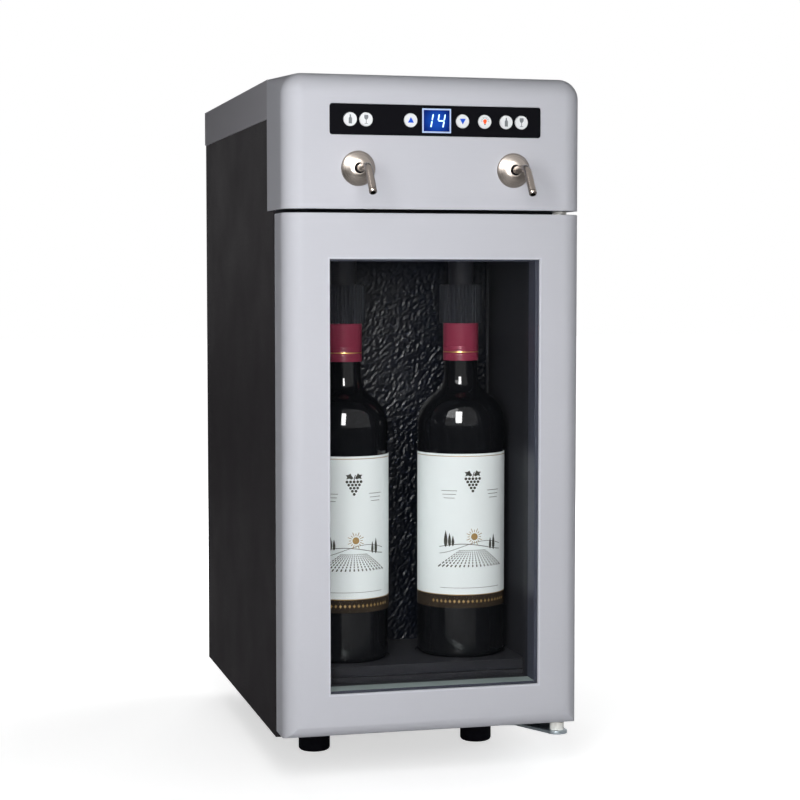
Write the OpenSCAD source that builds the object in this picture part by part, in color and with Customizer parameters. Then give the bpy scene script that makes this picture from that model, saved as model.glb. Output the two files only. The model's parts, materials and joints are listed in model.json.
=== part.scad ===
// Countertop wine preservation dispenser that cools, keeps and pours from two bottles.
// X runs across the front, Y from the front to the back, and Z up from the table.
// The modules measure Y back from the face of the door, and place() centres the depth on the origin.

/* [Cabinet] */
// Width over the side panels
body_w = 254; // [250:1:320]
// Depth from the face of the door to the rear edge of the side panels
body_d = 412; // [405:1:520]
// Height from the table to the top cover
body_h = 585; // [580:1:720]
// Height of the feet under the cabinet
foot_h = 33; // [20:1:45]
// Diameter of a foot
foot_dia = 28; // [20:1:40]
// Half the distance between the left and the right feet
foot_x = 75; // [50:1:100]
// Distance of the front feet behind the face of the door
foot_front_y = 135; // [100:1:160]
// Distance of the rear feet in front of the rear edge
foot_rear_gap = 26; // [20:1:60]
// Thickness of the steel panels
sheet_t = 1.5; // [1:0.1:2.5]
// Distance of the side panels in from the covers
panel_in = 1; // [0:0.1:2]
// Thickness of the insulated side walls, from the outside to the cavity
wall_t = 29; // [22:1:35]
// Thickness of the plastic liner
liner_t = 2; // [1.5:0.1:3]
// Thickness of the moulded covers
shell_t = 2.5; // [2:0.1:3]

/* [Hood and top cover] */
// Height of the control hood
hood_h = 109.8; // [100:0.1:140]
// Depth of the control hood
hood_d = 74; // [70:1:100]
// Radius of the hood's and the door's front corners
corner_r = 17; // [8:0.5:24]
// Radius of the hood's top front edge
brow_r = 19; // [8:0.5:26]
// Radius of the hood's top side edges
hood_side_r = 6; // [2:0.5:14]
// Height of the top cover's skirt
cover_h = 32.8; // [20:0.1:45]

/* [Door] */
// Thickness of the door
door_t = 42; // [40:1:60]
// Gap between the door and the cabinet, which the gasket fills
door_gap = 8; // [6:0.5:14]
// Height of the door's lower edge above the cabinet's
door_lift = 7; // [6:0.5:12]
// Gap between the door and the hood
door_reveal = 3.2; // [3:0.1:6]
// Width of the door's frame around the window
stile_w = 37.5; // [30:0.5:45]
// Thickness of one pane of glass
pane_t = 4; // [3:0.5:6]
// Gap between the two panes
pane_gap = 18; // [8:1:22]
// Thickness of the frame in front of the glass
lip_t = 3; // [2:0.5:6]
// Distance of the hinge axis from the side of the cabinet
pivot_in = 14.5; // [10:0.5:18]
// Distance of the hinge axis behind the face of the door
pivot_y = 18; // [15:1:26]

/* [Control strip] */
// Width of the control strip
strip_w = 179; // [160:1:190]
// Height of the control strip
strip_h = 25; // [22:0.5:30]
// Height of the strip's centre above the hood's lower edge
strip_up = 72.2; // [65:0.1:90]
// Diameter of a button
button_dia = 11; // [9:0.1:11.5]
// Travel of a button
button_travel = 0.8; // [0.4:0.1:1.2]
// Width of the display
display_w = 24.6; // [18:0.1:28]
// Height of the display
display_h = 20; // [14:0.1:21]

/* [Spouts] */
// Half the distance between the two spouts
spout_x = 66; // [45:1:80]
// Height of the spouts above the hood's lower edge
spout_up = 32.6; // [25:0.1:45]
// Diameter of the spout's tube
spout_dia = 6.4; // [5:0.1:9]
// Reach of the spout's level run in front of the hood
spout_reach = 30; // [20:1:50]
// Angle by which the spout is bent down
spout_angle = 54; // [30:1:90]
// Length of the spout's lower run
spout_drop = 21; // [10:1:40]
// Diameter of the spout's dome
dome_dia = 28.6; // [20:0.1:40]
// Height of the spout's dome
dome_h = 7; // [4:0.1:12]

/* [Bottles] */
// Diameter of a bottle
bottle_dia = 77; // [70:0.5:82]
// Height of a bottle
bottle_h = 315; // [290:1:322]
// Half the distance between the two bottles
bottle_x = 53; // [44:0.5:56]
// Distance of the bottles' centres behind the face of the door
bottle_y = 110; // [105:1:130]
// Height of the bottles' place above the liner's floor
tray_t = 6.8; // [4:0.1:10]
// Diameter of the ribbed bottle head
head_dia = 37.5; // [34:0.5:44]
// Number of ribs around a bottle head
head_ribs = 36; // [24:1:48]

/* [Cooling and gas] */
// Width of the fan
fan_w = 92; // [60:1:92]
// Number of fan blades
fan_blades = 7; // [5:1:11]
// Diameter of the gas canister
canister_dia = 84; // [60:1:88]
// Height of the gas canister to its shoulder
canister_h = 240; // [180:1:260]

/* [Hidden] */
$fn = 96;

// Clearances: a running gap, a gap between parts that don't touch, and a shaft's gap in its bush
gap = 0.3;
fit_gap = 0.05;
lap_t = 0.03;
lap_len = 0.5;
eps = 0.01;

// Levels and planes of the cabinet
hw = body_w / 2;
z_hood = body_h - hood_h;
z_cover = body_h - cover_h;
z_door = foot_h + door_lift;
door_h = z_hood - door_reveal - z_door;
y_cab = door_t + door_gap;
y_rear = body_d - 8;
x_in = hw - panel_in - sheet_t;

// Feet and their screws
foot_round = 3;
foot_screw_r = 2;
foot_screw_in = 11;
foot_screw_head = [4, 2.4];

// Cavity for the bottles
cav_hw = hw - wall_t;
z_floor = z_door + 40;
z_ceiling = z_hood - 32;
y_plate = 172;
plate_t = 2;
plate_in = 3;
y_liner = y_plate + liner_t;
y_foam = y_liner + 26;
tray_in = 2;
tray_lip = 1.8;
lamp_hw = 60;
lamp_d = 12;
lamp_h = 5;

// Window and glazing
win_w = body_w - 2 * stile_w;
win_h = door_h - 2 * stile_w;
glass_edge = 8;
sight_edge = 1.5;
y_spacer = lip_t + pane_t;
y_pane2 = y_spacer + pane_gap;
y_glass_back = y_pane2 + pane_t;
frame_back = y_glass_back + 3;
frame_t = 9;
skin_t = 3;
z_win_mid = z_door + door_h / 2;
glass_gap = 0.3;
inner_gap = 0.2;

// Hinge
pivot_x = hw - pivot_in;
pin_r = 3;
bush_r = 5;
bush_depth = 14;
bush_flange_r = 6;
bush_gap = 1;
pin_in = 11;
bracket_t = 2.5;
nose_r = 9;
arm_w = 62;
arm_foot = 45;
bracket_screw = [3.6, 2];

// Gasket ring, inside the hinge axis so that it clears the cabinet as the door turns
seal_out = pivot_in + 5;
seal_w = 12;
seal_root = 4;
seal_groove = seal_out + seal_w / 2;
groove_in = 5;

// Control strip: where each button stands along it
strip_z = z_hood + strip_up;
strip_proud = 0.4;
lens_t = 2;
button_x = [-72.6, -59.4, -22, 22, 41, 59.4, 72.6];
button_r = button_dia / 2;
button_proud = 1.1;
button_skirt = [0.7, 1];
stem_r = 1.6;
strip_ledge = [4, 2.5];
display_border = 1.2;
display_body = 2.5;
board_y = 14;
board_t = 1.6;
board_over = [1.5, 7];
switch_a = 6;
switch_h = 4;
post_r = 2.5;

// Spouts and wine lines
spout_z = z_hood + spout_up;
spout_r = spout_dia / 2;
spout_bore = 2;
spout_bend_r = 12;
shank_r = 5;
shank_back = 14;
shank_front = 4;
dome_rim = 0.8;
dome_eye = 5;
grommet_r = 1;
grommet_t = 1.7;
nut_r = 9.2;
nut_t = 5;
barb_r = 2.5;
barb_bore = 1.6;
barb_len = 11;
barb_back = 28;
hose_or = 4;
hose_ir = 2.6;

// Bottles, heads and docks
bottle_r = bottle_dia / 2;
z_bottle = z_floor + tray_t;
z_mouth = z_bottle + bottle_h;
glass_t = 3;
body_top = 0.675 * bottle_h;
neck_low = 0.785 * bottle_h;
heel_r = 4;
ring_h = 8;
neck_r = 14.8;
mouth_r = 9.3;
capsule_r = 15.6;
capsule_h = 52;
capsule_down = 3;
label_low = 45;
label_h = 135;
label_t = 0.3;
label_turn = 190;
head_r = head_dia / 2;
head_skirt = 22;
head_h = 34;
rib_h = 0.8;
z_head = z_mouth - head_skirt;
seal_plug = 16;
seal_t = 2.4;
dock_r = 11;
dock_w = 24;
z_shelf_top = z_hood + sheet_t;
tube_r = 2.2;
tube_bore = 1.6;
tube_up = 20;
z_tube = z_bottle + 27;
dock_top = spout_z + 8;

// The wine hose runs forward from the dock through the pinch valve and shifts sideways to the spout
hose_bend_r = 20;
hose_shift = spout_x - bottle_x;
hose_mid = 1;
hose_end = 13;
hose_angle = acos((2 * hose_bend_r - abs(hose_shift)) / norm([2 * hose_bend_r, hose_mid]))
    - atan(hose_mid / (2 * hose_bend_r));
hose_start_y = bottle_y - dock_w / 2 - 1;
hose_end_y = shank_back + 1;
hose_runs = hose_start_y - hose_end_y - 2 * hose_bend_r * sin(hose_angle) - hose_mid * cos(hose_angle);
valve_w = 26;
valve_d = 20;
valve_up = 12;
coil_r = 9;
coil_h = 20;

// Cooling stack behind the cavity
z_cool = (z_floor + z_ceiling) / 2;
block_w = 50;
chip_t = 4;
sink_w = 120;
sink_base = 6;
fin_h = 30;
fin_t = 1.6;
fins = 13;
y_sink = y_foam + chip_t;
y_fan = y_sink + sink_base + fin_h;
fan_t = 25;
fan_bore = fan_w / 2 - 3;
fan_hub = 18;
fan_spindle = 1.5;
fan_tip_gap = 1.2;
blade_t = 1.8;
blade_w = 22;
blade_pitch = 40;
strut_t = 3;
rotor_in = 3;
rotor_t = fan_t - 7;

// Rear bay
can_r = canister_dia / 2;
can_x = -(hw - 65);
can_y = body_d - 84;
cradle_t = 3;
cradle_h = 22;
can_neck = 28;
can_heel = 6;
z_can = foot_h + sheet_t + cradle_t;
z_valve = z_can + canister_h + can_neck;
regulator_r = 16;
regulator_h = 30;
gauge_r = 17;
gauge_t = 10;
knob_post = [5, 8];
knob_r = 12;
knob_h = 16;
knob_grips = 12;
gas_z = z_shelf_top + 14;
gas_x = bottle_x - 38;
gas_bend_r = 20;
gas_twin_r = 19;
gas_first_run = 20;
gas_lead = 8;
gas_riser_x = can_x + regulator_r + 2 + gas_lead + gas_bend_r;
manifold_w = 64;
manifold_d = 24;
manifold_h = 24;
manifold_low = min(-manifold_w / 2, gas_riser_x - 16);
manifold_high = max(manifold_w / 2, gas_riser_x + 16);

// Hatch over the canister bay
hatch_w = 2 * can_r + 20;
hatch_x = can_x;
hatch_h = canister_h + 100;
z_hatch = foot_h + 30;
hatch_t = 1.5;
hatch_lap = 5;
hatch_pin_r = 1.2;
lug_r = 2.4;
lug_h = 6;
knuckle_h = 14;
y_hatch = y_rear + sheet_t + gap;
hatch_axis_x = hatch_x - hatch_w / 2 - 4;
hatch_axis_y = y_rear + sheet_t + lug_r + 0.1;
hatch_slots = 6;
hatch_slot = [56, 3];
pull = [3, 3, 50];

// Openings of the rear cover: the fan's grille, the bay's air slots and the mains inlet
slot_h = 4;
slot_pitch = 8;
grille_x = 15;
grille_w = 78;
vent_w = 5;
vent_h = 24;
vent_pitch = 13;
vent_down = 46;
inlet_x = 60;
inlet_z = foot_h + 114;
inlet = [28, 20];
inlet_flange = [34, 26, 2];
socket = [24, 16, 18];
supply = [86, 70, 60];
supply_x = 20;

// Measured along Y, the front of the row's box is the tip of the spouts
spout_tip_y = -(spout_reach + spout_bend_r * sin(spout_angle) + spout_drop * cos(spout_angle)
    + spout_r * sin(spout_angle));
depth_mid = (body_d + spout_tip_y) / 2;

module place() {
    translate([0, -depth_mid, 0]) children();
}

// A box between two corners
module span(low, high) {
    translate(low) cube(high - low);
}

// A cylinder that runs back along Y from a point
module rod_y(at, r, length) {
    translate(at) rotate([-90, 0, 0]) cylinder(r = r, h = length);
}

// A rectangle with round corners, centred on the origin
module round_rect(w, h, r) {
    square([w - 2 * r, h], center = true);
    square([w, h - 2 * r], center = true);
    for (sx = [-1, 1], sy = [-1, 1])
        translate([sx * (w / 2 - r), sy * (h / 2 - r)]) circle(r);
}

// A plate that stands across Y, from y0 to y1, with its outline centred at height z
module plate_y(z, y0, y1) {
    translate([0, y1, z]) rotate([90, 0, 0]) linear_extrude(y1 - y0) children();
}

// A rectangular ring that stands across Y
module ring_y(w, h, border, z, y0, y1) {
    plate_y(z, y0, y1) difference() {
        square([w, h], center = true);
        square([w - 2 * border, h - 2 * border], center = true);
    }
}

// Plan of the front: a rectangle whose two front corners are round
module front_plan(half_w, depth, r, front = 0) {
    translate([-half_w, front + r]) square([2 * half_w, depth - r]);
    translate([-half_w + r, front]) square([2 * (half_w - r), r + eps]);
    for (sx = [-1, 1]) translate([sx * (half_w - r), front + r]) circle(r);
}

// Runs a round tube along +Z, through straight runs ["run", length] and bends ["bend", radius, angle, roll].
// A run is a hair thicker than a bend and laps into the bends at its ends.
module hose(outer, inner, steps, i = 0) {
    if (i < len(steps)) {
        s = steps[i];
        if (s[0] == "run") {
            low = i > 0 ? -lap_len : 0;
            high = i < len(steps) - 1 ? s[1] + lap_len : s[1];
            translate([0, 0, low]) difference() {
                cylinder(r = outer + lap_t, h = high - low);
                translate([0, 0, -1]) cylinder(r = inner - lap_t, h = high - low + 2);
            }
            translate([0, 0, s[1]]) hose(outer, inner, steps, i + 1);
        } else {
            rotate(s[3]) {
                translate([s[1], 0, 0]) rotate([90, 0, 180]) rotate_extrude(angle = s[2])
                    translate([s[1], 0]) difference() {
                        circle(outer);
                        circle(inner);
                    }
                translate([s[1], 0, 0]) rotate([0, s[2], 0]) translate([-s[1], 0, 0])
                    rotate(-s[3]) hose(outer, inner, steps, i + 1);
            }
        }
    }
}

// ---- Cabinet ----

module base_plate() {
    color("#2a2a2c") difference() {
        span([-x_in, y_cab, foot_h], [x_in, y_rear, foot_h + sheet_t]);
        for (p = foot_places()) translate([p[0], p[1], foot_h - 1])
            cylinder(r = foot_screw_r + 0.2, h = sheet_t + 2);
    }
}

function foot_places() = [
    for (x = [-foot_x, foot_x], y = [foot_front_y, body_d - foot_rear_gap]) [x, y]
];

module side_panel(side) {
    color("#262628") {
        x0 = side < 0 ? -x_in - sheet_t : x_in;
        span([x0, y_cab, foot_h], [x0 + sheet_t, body_d, z_hood]);
        span([x0, hood_d, z_hood - eps], [x0 + sheet_t, body_d, z_cover]);
    }
}

module top_cover() {
    color("#6e6e72") difference() {
        span([-hw, hood_d, z_cover], [hw, body_d, body_h]);
        span([-hw + shell_t, hood_d - 1, z_cover - 1], [hw - shell_t, body_d - shell_t, body_h - shell_t]);
    }
}

module rear_cover() {
    color("#2e2e30") difference() {
        span([-x_in, y_rear, foot_h], [x_in, y_rear + sheet_t, z_cover]);
        // Grille behind the fan
        for (i = [-5:5]) rear_hole(grille_x, z_cool + i * slot_pitch - slot_h / 2, grille_w, slot_h);
        // Air slots for the service bay
        for (i = [-7:7]) rear_hole(i * vent_pitch - vent_w / 2, z_cover - vent_down, vent_w, vent_h);
        // Opening behind the hatch, and the mains inlet's hole
        rear_hole(hatch_x - hatch_w / 2 + hatch_lap, z_hatch + hatch_lap, hatch_w - 2 * hatch_lap,
            hatch_h - 2 * hatch_lap);
        rear_hole(inlet_x - inlet[0] / 2, inlet_z - inlet[1] / 2, inlet[0], inlet[1]);
    }
    // Lugs that hold the hatch's pins
    color("#2e2e30") for (z = hatch_lugs()) difference() {
        union() {
            translate([hatch_axis_x, hatch_axis_y, z]) cylinder(r = lug_r, h = lug_h);
            span([hatch_axis_x - 1, y_rear + sheet_t - eps, z], [hatch_axis_x + 1, hatch_axis_y, z + lug_h]);
        }
        translate([hatch_axis_x, hatch_axis_y, z - 1]) cylinder(r = hatch_pin_r + fit_gap, h = lug_h + 2);
    }
}

// A square hole through the rear sheets, from its lower left corner
module rear_hole(x, z, w, h) {
    span([x, y_rear - 1, z], [x + w, y_rear + 6, z + h]);
}

function hatch_lugs() = [z_hatch + 12, z_hatch + hatch_h - 38];

module rear_hatch() {
    x0 = hatch_x - hatch_w / 2;
    x1 = hatch_x + hatch_w / 2;
    y1 = y_hatch + hatch_t;
    color("#38383b") {
        difference() {
            span([x0, y_hatch, z_hatch], [x1, y1, z_hatch + hatch_h]);
            for (i = [0:hatch_slots - 1])
                rear_hole(hatch_x - hatch_slot[0] / 2, z_hatch + hatch_h - 60 + i * slot_pitch, hatch_slot[0],
                    hatch_slot[1]);
        }
        // Knuckles above the lugs, and the finger pull
        for (z = hatch_lugs()) difference() {
            z0 = z + lug_h + gap;
            union() {
                translate([hatch_axis_x, hatch_axis_y, z0]) cylinder(r = lug_r, h = knuckle_h);
                span([hatch_axis_x, y_hatch, z0], [x0 + eps, y1, z0 + knuckle_h - gap]);
            }
            translate([hatch_axis_x, hatch_axis_y, z]) cylinder(r = hatch_pin_r + fit_gap, h = 24);
        }
        span([x1 - 3 * pull[0], y1 - eps, z_hatch + (hatch_h - pull[2]) / 2],
            [x1 - 2 * pull[0], y1 + pull[1], z_hatch + (hatch_h + pull[2]) / 2]);
    }
}

module hatch_pins() {
    color("#b8bcc0") for (z = hatch_lugs()) translate([hatch_axis_x, hatch_axis_y, z])
        cylinder(r = hatch_pin_r, h = lug_h + knuckle_h);
}

module hood_form(inset) {
    r = corner_r - inset;
    b = brow_r - inset;
    s = hood_side_r - inset;
    intersection() {
        translate([0, 0, z_hood - (inset > 0 ? 1 : 0)]) linear_extrude(hood_h + 1 - inset)
            front_plan(hw - inset, hood_d + (inset > 0 ? 1 : 0), r, inset);
        translate([-hw, 0, 0]) rotate([90, 0, 90]) linear_extrude(body_w) {
            translate([inset, 0]) square([hood_d + 1, body_h - inset - b]);
            translate([inset + b, 0]) square([hood_d + 1, body_h - inset]);
            translate([inset + b, body_h - inset - b]) circle(b);
        }
        translate([0, hood_d + 2, 0]) rotate([90, 0, 0]) linear_extrude(hood_d + 3) {
            translate([-hw, 0]) square([body_w, body_h - inset - s]);
            translate([-hw + inset + s, 0]) square([body_w - 2 * (inset + s), body_h - inset]);
            for (sx = [-1, 1]) translate([sx * (hw - inset - s), body_h - inset - s]) circle(s);
        }
    }
}

module control_hood() {
    color("#b9bac0") difference() {
        intersection() {
            hood_form(0);
            span([-hw, -1, z_hood], [hw, hood_d, body_h]);
        }
        hood_form(shell_t);
        plate_y(strip_z, -1, lens_t - strip_proud) round_rect(strip_w, strip_h, 2);
        plate_y(strip_z, -1, shell_t + 1)
            square([strip_w - 2 * strip_ledge[0], strip_h - 2 * strip_ledge[1]], center = true);
        for (sx = [-1, 1]) rod_y([sx * spout_x, -1, spout_z], shank_r + 0.2, shell_t + 2);
    }
    // Posts for the control board
    color("#b9bac0") for (sx = [-1, 1], sz = [-1, 1])
        rod_y([sx * (strip_w / 2 - 2), shell_t - eps, strip_z + sz * (strip_h / 2 + 4)], post_r,
            board_y - shell_t);
}

module service_shelf() {
    color("#8d9094") difference() {
        union() {
            span([-x_in, hood_d, z_hood], [x_in, y_rear, z_shelf_top]);
            span([-hw + shell_t, corner_r, z_hood], [hw - shell_t, hood_d, z_shelf_top]);
            span([-hw + corner_r, shell_t, z_hood], [hw - corner_r, corner_r, z_shelf_top]);
        }
        dock_ways(z_hood - 1, 4);
        translate([pivot_x, pivot_y, z_hood - 1]) cylinder(r = pin_r + 1, h = 4);
        translate([gas_riser_x, can_y, z_hood - 1]) cylinder(r = hose_or + 2, h = 4);
    }
}

// Outside of the liner's box
module liner_box() {
    out = cav_hw + liner_t;
    span([-out, y_cab, z_floor - liner_t], [out, y_liner, z_ceiling + liner_t]);
}

// Square way for the cooling block, between two depths
module block_way(from_y, to_y) {
    half = block_w / 2;
    span([-half, from_y, z_cool - half], [half, to_y, z_cool + half]);
}

// Round ways for the docks, from a height upwards
module dock_ways(z, h) {
    for (sx = [-1, 1]) translate([sx * bottle_x, bottle_y, z]) cylinder(r = dock_r + gap, h = h);
}

module inner_liner() {
    color("#1b1b1d") difference() {
        union() {
            liner_box();
            span([-x_in, y_cab, foot_h + sheet_t], [x_in, y_cab + liner_t, z_hood]);
        }
        span([-cav_hw, y_cab - 1, z_floor], [cav_hw, y_plate, z_ceiling]);
        block_way(y_plate - 1, y_liner + 1);
        dock_ways(z_ceiling - 1, 2 * liner_t);
    }
}

module insulation() {
    color("#d8cfa8") difference() {
        span([-x_in, y_cab + liner_t, foot_h + sheet_t], [x_in, y_foam, z_hood]);
        liner_box();
        block_way(y_liner - 1, y_foam + 1);
        dock_ways(z_ceiling, z_hood - z_ceiling + 1);
        for (p = foot_places()) translate([p[0], p[1], foot_h])
            cylinder(r = foot_screw_head[0] + 1, h = sheet_t + foot_screw_head[1] + 2);
    }
}

module cold_plate() {
    half = cav_hw - plate_in;
    color("#141416") span([-half, y_plate - plate_t, z_floor], [half, y_plate, z_ceiling - plate_in]);
}

module bottle_tray() {
    half = cav_hw - tray_in;
    color("#202022") difference() {
        span([-half, y_cab + 5, z_floor], [half, y_plate - plate_t, z_bottle + tray_lip]);
        for (sx = [-1, 1]) translate([sx * bottle_x, bottle_y, z_bottle]) cylinder(r = bottle_r + 1.5, h = 4);
    }
}

module feet() {
    r = foot_dia / 2;
    color("#151517") for (p = foot_places()) translate([p[0], p[1], 0]) difference() {
        rotate_extrude() {
            square([r - foot_round, foot_h]);
            translate([0, foot_round]) square([r, foot_h - foot_round]);
            translate([r - foot_round, foot_round]) circle(foot_round);
        }
        translate([0, 0, foot_h - foot_screw_in - 1]) cylinder(r = foot_screw_r + 0.1, h = foot_screw_in + 2);
    }
}

module foot_screws() {
    color("#b8bcc0") for (p = foot_places()) translate([p[0], p[1], foot_h]) {
        translate([0, 0, -foot_screw_in]) cylinder(r = foot_screw_r, h = foot_screw_in + sheet_t + eps);
        translate([0, 0, sheet_t]) cylinder(r = foot_screw_head[0], h = foot_screw_head[1]);
    }
}

// ---- Door ----

module door_form() {
    intersection() {
        translate([0, 0, z_door]) linear_extrude(door_h) front_plan(hw, door_t, corner_r);
        translate([-hw, 0, z_door]) rotate([90, 0, 90]) linear_extrude(body_w) {
            translate([0, corner_r]) square([door_t, door_h - corner_r]);
            translate([corner_r, 0]) square([door_t - corner_r, door_h]);
            translate([corner_r, corner_r]) circle(corner_r);
        }
    }
}

// An upright rectangle as wide and high as the window, grown by a margin all round
module window(margin = 0) {
    square([win_w + 2 * margin, win_h + 2 * margin], center = true);
}

module door_frame() {
    color("#b4b5bd") difference() {
        door_form();
        plate_y(z_win_mid, -1, door_t + 1) window();
        plate_y(z_win_mid, lip_t, door_t + 1) window(glass_edge);
        plate_y(z_win_mid, frame_back, door_t + 1)
            square([body_w - 2 * skin_t, door_h - 2 * skin_t], center = true);
        for (z = [z_door - 1, z_door + door_h - bush_depth])
            translate([pivot_x, pivot_y, z]) cylinder(r = bush_r + fit_gap, h = bush_depth + 1);
    }
}

// The gasket's root, or with no clearance the groove that holds it
module seal_ring(clearance, y0, y1) {
    margin = 2 * (seal_groove + clearance) - seal_root;
    ring_y(body_w - margin, door_h - margin, seal_root - 2 * clearance, z_win_mid, y0, y1);
}

module door_inner_frame() {
    w = body_w - 2 * (skin_t + inner_gap);
    h = door_h - 2 * (skin_t + inner_gap);
    color("#1d1d1f") difference() {
        union() {
            ring_y(w, h, (w - win_w) / 2, z_win_mid, frame_back, frame_back + frame_t + 0.5);
            plate_y(z_win_mid, y_glass_back, frame_back + eps) window(glass_edge - inner_gap);
        }
        plate_y(z_win_mid, -1, door_t + 1) window();
        seal_ring(0, door_t - groove_in, door_t + 1);
    }
}

module pane(y0) {
    color([0.55, 0.75, 0.72, 0.35]) plate_y(z_win_mid, y0, y0 + pane_t) window(glass_edge - glass_gap);
}

module pane_spacer() {
    color("#aab6b4") plate_y(z_win_mid, y_spacer, y_pane2) difference() {
        window(glass_edge - glass_gap);
        window(-sight_edge);
    }
}

module door_gasket() {
    y_root = door_t - 0.5;
    color("#111113") {
        ring_y(body_w - 2 * seal_out, door_h - 2 * seal_out, seal_w, z_win_mid, y_root, y_cab - gap);
        seal_ring(inner_gap, y_root - groove_in + 1, y_root + eps);
    }
}

// Plan of a bracket: a foot under the cabinet and a tapering arm to the pivot
module hinge_arm(from_x, back_y) {
    polygon([
        [from_x, back_y], [hw - 5, back_y], [hw - 5, y_cab + 6], [pivot_x + nose_r - 0.2, pivot_y + 1],
        [pivot_x - 7.5, pivot_y - 4.5], [from_x + 26, y_cab + 1], [from_x, y_cab + 10]
    ]);
    translate([pivot_x, pivot_y]) circle(nose_r);
}

module lower_hinge_bracket() {
    color("#c3ccd0") translate([0, 0, foot_h - bracket_t]) {
        linear_extrude(bracket_t) hinge_arm(hw - 5 - arm_w, y_cab + arm_foot);
        translate([pivot_x, pivot_y, 0]) cylinder(r = pin_r, h = bracket_t + door_lift + pin_in);
        for (p = bracket_screws()) translate([p[0], p[1], -bracket_screw[1]])
            cylinder(r = bracket_screw[0], h = bracket_screw[1] + eps);
    }
}

function bracket_screws() = [for (x = [hw - 55, hw - 18], y = [y_cab + 20, y_cab + 34]) [x, y]];

module upper_hinge_bracket() {
    color("#c3ccd0") {
        translate([0, 0, z_shelf_top]) linear_extrude(bracket_t) difference() {
            hinge_arm(hw + 2 - arm_w, y_cab + arm_foot - 10);
            translate([hw - shell_t - gap, 0]) square([20, 200]);
        }
        translate([pivot_x, pivot_y, z_hood - door_reveal - pin_in])
            cylinder(r = pin_r, h = door_reveal + pin_in + sheet_t + bracket_t);
    }
}

module hinge_bushes() {
    color("#f0eeea") for (up = [0, 1]) {
        z0 = up ? z_hood - gap : foot_h + gap;
        length = (up ? door_reveal : door_lift) - gap;
        translate([pivot_x, pivot_y, z0]) mirror([0, 0, up]) difference() {
            union() {
                cylinder(r = bush_flange_r, h = length);
                cylinder(r = bush_r, h = length + bush_depth - bush_gap);
            }
            translate([0, 0, -1]) cylinder(r = pin_r + fit_gap, h = length + bush_depth + 1);
        }
    }
}

// ---- Control strip ----

module control_strip() {
    color("#101013") difference() {
        plate_y(strip_z, -strip_proud, lens_t - strip_proud) round_rect(strip_w - 0.4, strip_h - 0.4, 1.8);
        for (x = button_x) rod_y([x, -2, strip_z], button_r + gap, lens_t + 4);
        plate_y(strip_z, -2, lens_t + 1) square([display_w, display_h], center = true);
    }
}

module display_frame() {
    color("#dfe6f5")
        ring_y(display_w - 0.2, display_h - 0.2, display_border, strip_z, -strip_proud - 0.2, lens_t);
}

module display_screen() {
    inner = display_border + 0.15;
    color("#0b2a8c") {
        plate_y(strip_z, -strip_proud, lens_t + 1)
            square([display_w - 2 * inner, display_h - 2 * inner], center = true);
        plate_y(strip_z, lens_t + 1 - eps, board_y)
            square([display_w - 2 * display_body, display_h - 2 * display_body], center = true);
    }
}

module button(i) {
    color("#eef0f2") {
        rod_y([button_x[i], -button_proud, strip_z], button_r, button_proud + shell_t);
        rod_y([button_x[i], lens_t, strip_z], button_r + button_skirt[0], button_skirt[1]);
        rod_y([button_x[i], lens_t, strip_z], stem_r, board_y - switch_h - lens_t - button_travel - 0.1);
    }
}

module control_board() {
    color("#1f5a3a") plate_y(strip_z, board_y, board_y + board_t)
        square([strip_w + 2 * board_over[0], strip_h + 2 * board_over[1]], center = true);
    color("#303236") for (x = button_x)
        span([x - switch_a / 2, board_y - switch_h, strip_z - switch_a / 2],
            [x + switch_a / 2, board_y + eps, strip_z + switch_a / 2]);
    color("#303236") for (x = [-40, 10, 48])
        span([x, board_y + board_t - eps, strip_z - 9], [x + 16, board_y + board_t + 4, strip_z + 5]);
}

// ---- Spouts ----

module spout(side) {
    color("#b9b2a8") translate([side * spout_x, 0, spout_z]) {
        rotate([90, 0, 0]) hose(spout_r, spout_bore, [
            ["run", spout_reach], ["bend", spout_bend_r, spout_angle, -90], ["run", spout_drop]
        ]);
        // Threaded shank through the hood, and the barb for the hose
        difference() {
            union() {
                rod_y([0, -shank_front, 0], shank_r, shank_back + shank_front);
                rod_y([0, shank_back - eps, 0], barb_r, barb_back - shank_back);
            }
            rod_y([0, -dome_h, 0], spout_bore - 0.2, barb_back + dome_h + 1);
        }
    }
}

// Places its children at both spouts, rising to the front
module at_spouts() {
    for (sx = [-1, 1]) translate([sx * spout_x, 0, spout_z]) rotate([90, 0, 0]) children();
}

module spout_domes() {
    r = dome_dia / 2;
    color("#b8b2aa") at_spouts() difference() {
        rotate_extrude() polygon([
            [0, 0], [r, 0], [r, dome_rim],
            for (a = [10:10:80]) [
                dome_eye + (r - dome_eye) * cos(a) * (1 - 0.18 * sin(a)),
                dome_rim + (dome_h - dome_rim) * sin(a) * (0.72 + 0.28 * sin(a))
            ],
            [dome_eye, dome_h], [0, dome_h]
        ]);
        translate([0, 0, -1]) cylinder(r = shank_r + 0.2, h = shank_front + 1.4);
        cylinder(r = spout_r + grommet_r + 0.1, h = dome_h + 1);
    }
}

module spout_grommets() {
    color("#0c0c0d") at_spouts() difference() {
        translate([0, 0, dome_h - 2.5]) cylinder(r = spout_r + grommet_r, h = grommet_t);
        cylinder(r = spout_r + fit_gap, h = dome_h + 1);
    }
}

module spout_nuts() {
    color("#c2a24c") for (sx = [-1, 1]) translate([sx * spout_x, shell_t, spout_z]) rotate([-90, 0, 0])
        difference() {
            cylinder(r = nut_r, h = nut_t, $fn = 6);
            translate([0, 0, -1]) cylinder(r = shank_r + fit_gap, h = nut_t + 2);
        }
}

// ---- Bottle heads and wine lines ----

function rib_point(i, r) = r * [cos(i * 90 / head_ribs), sin(i * 90 / head_ribs)];

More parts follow.
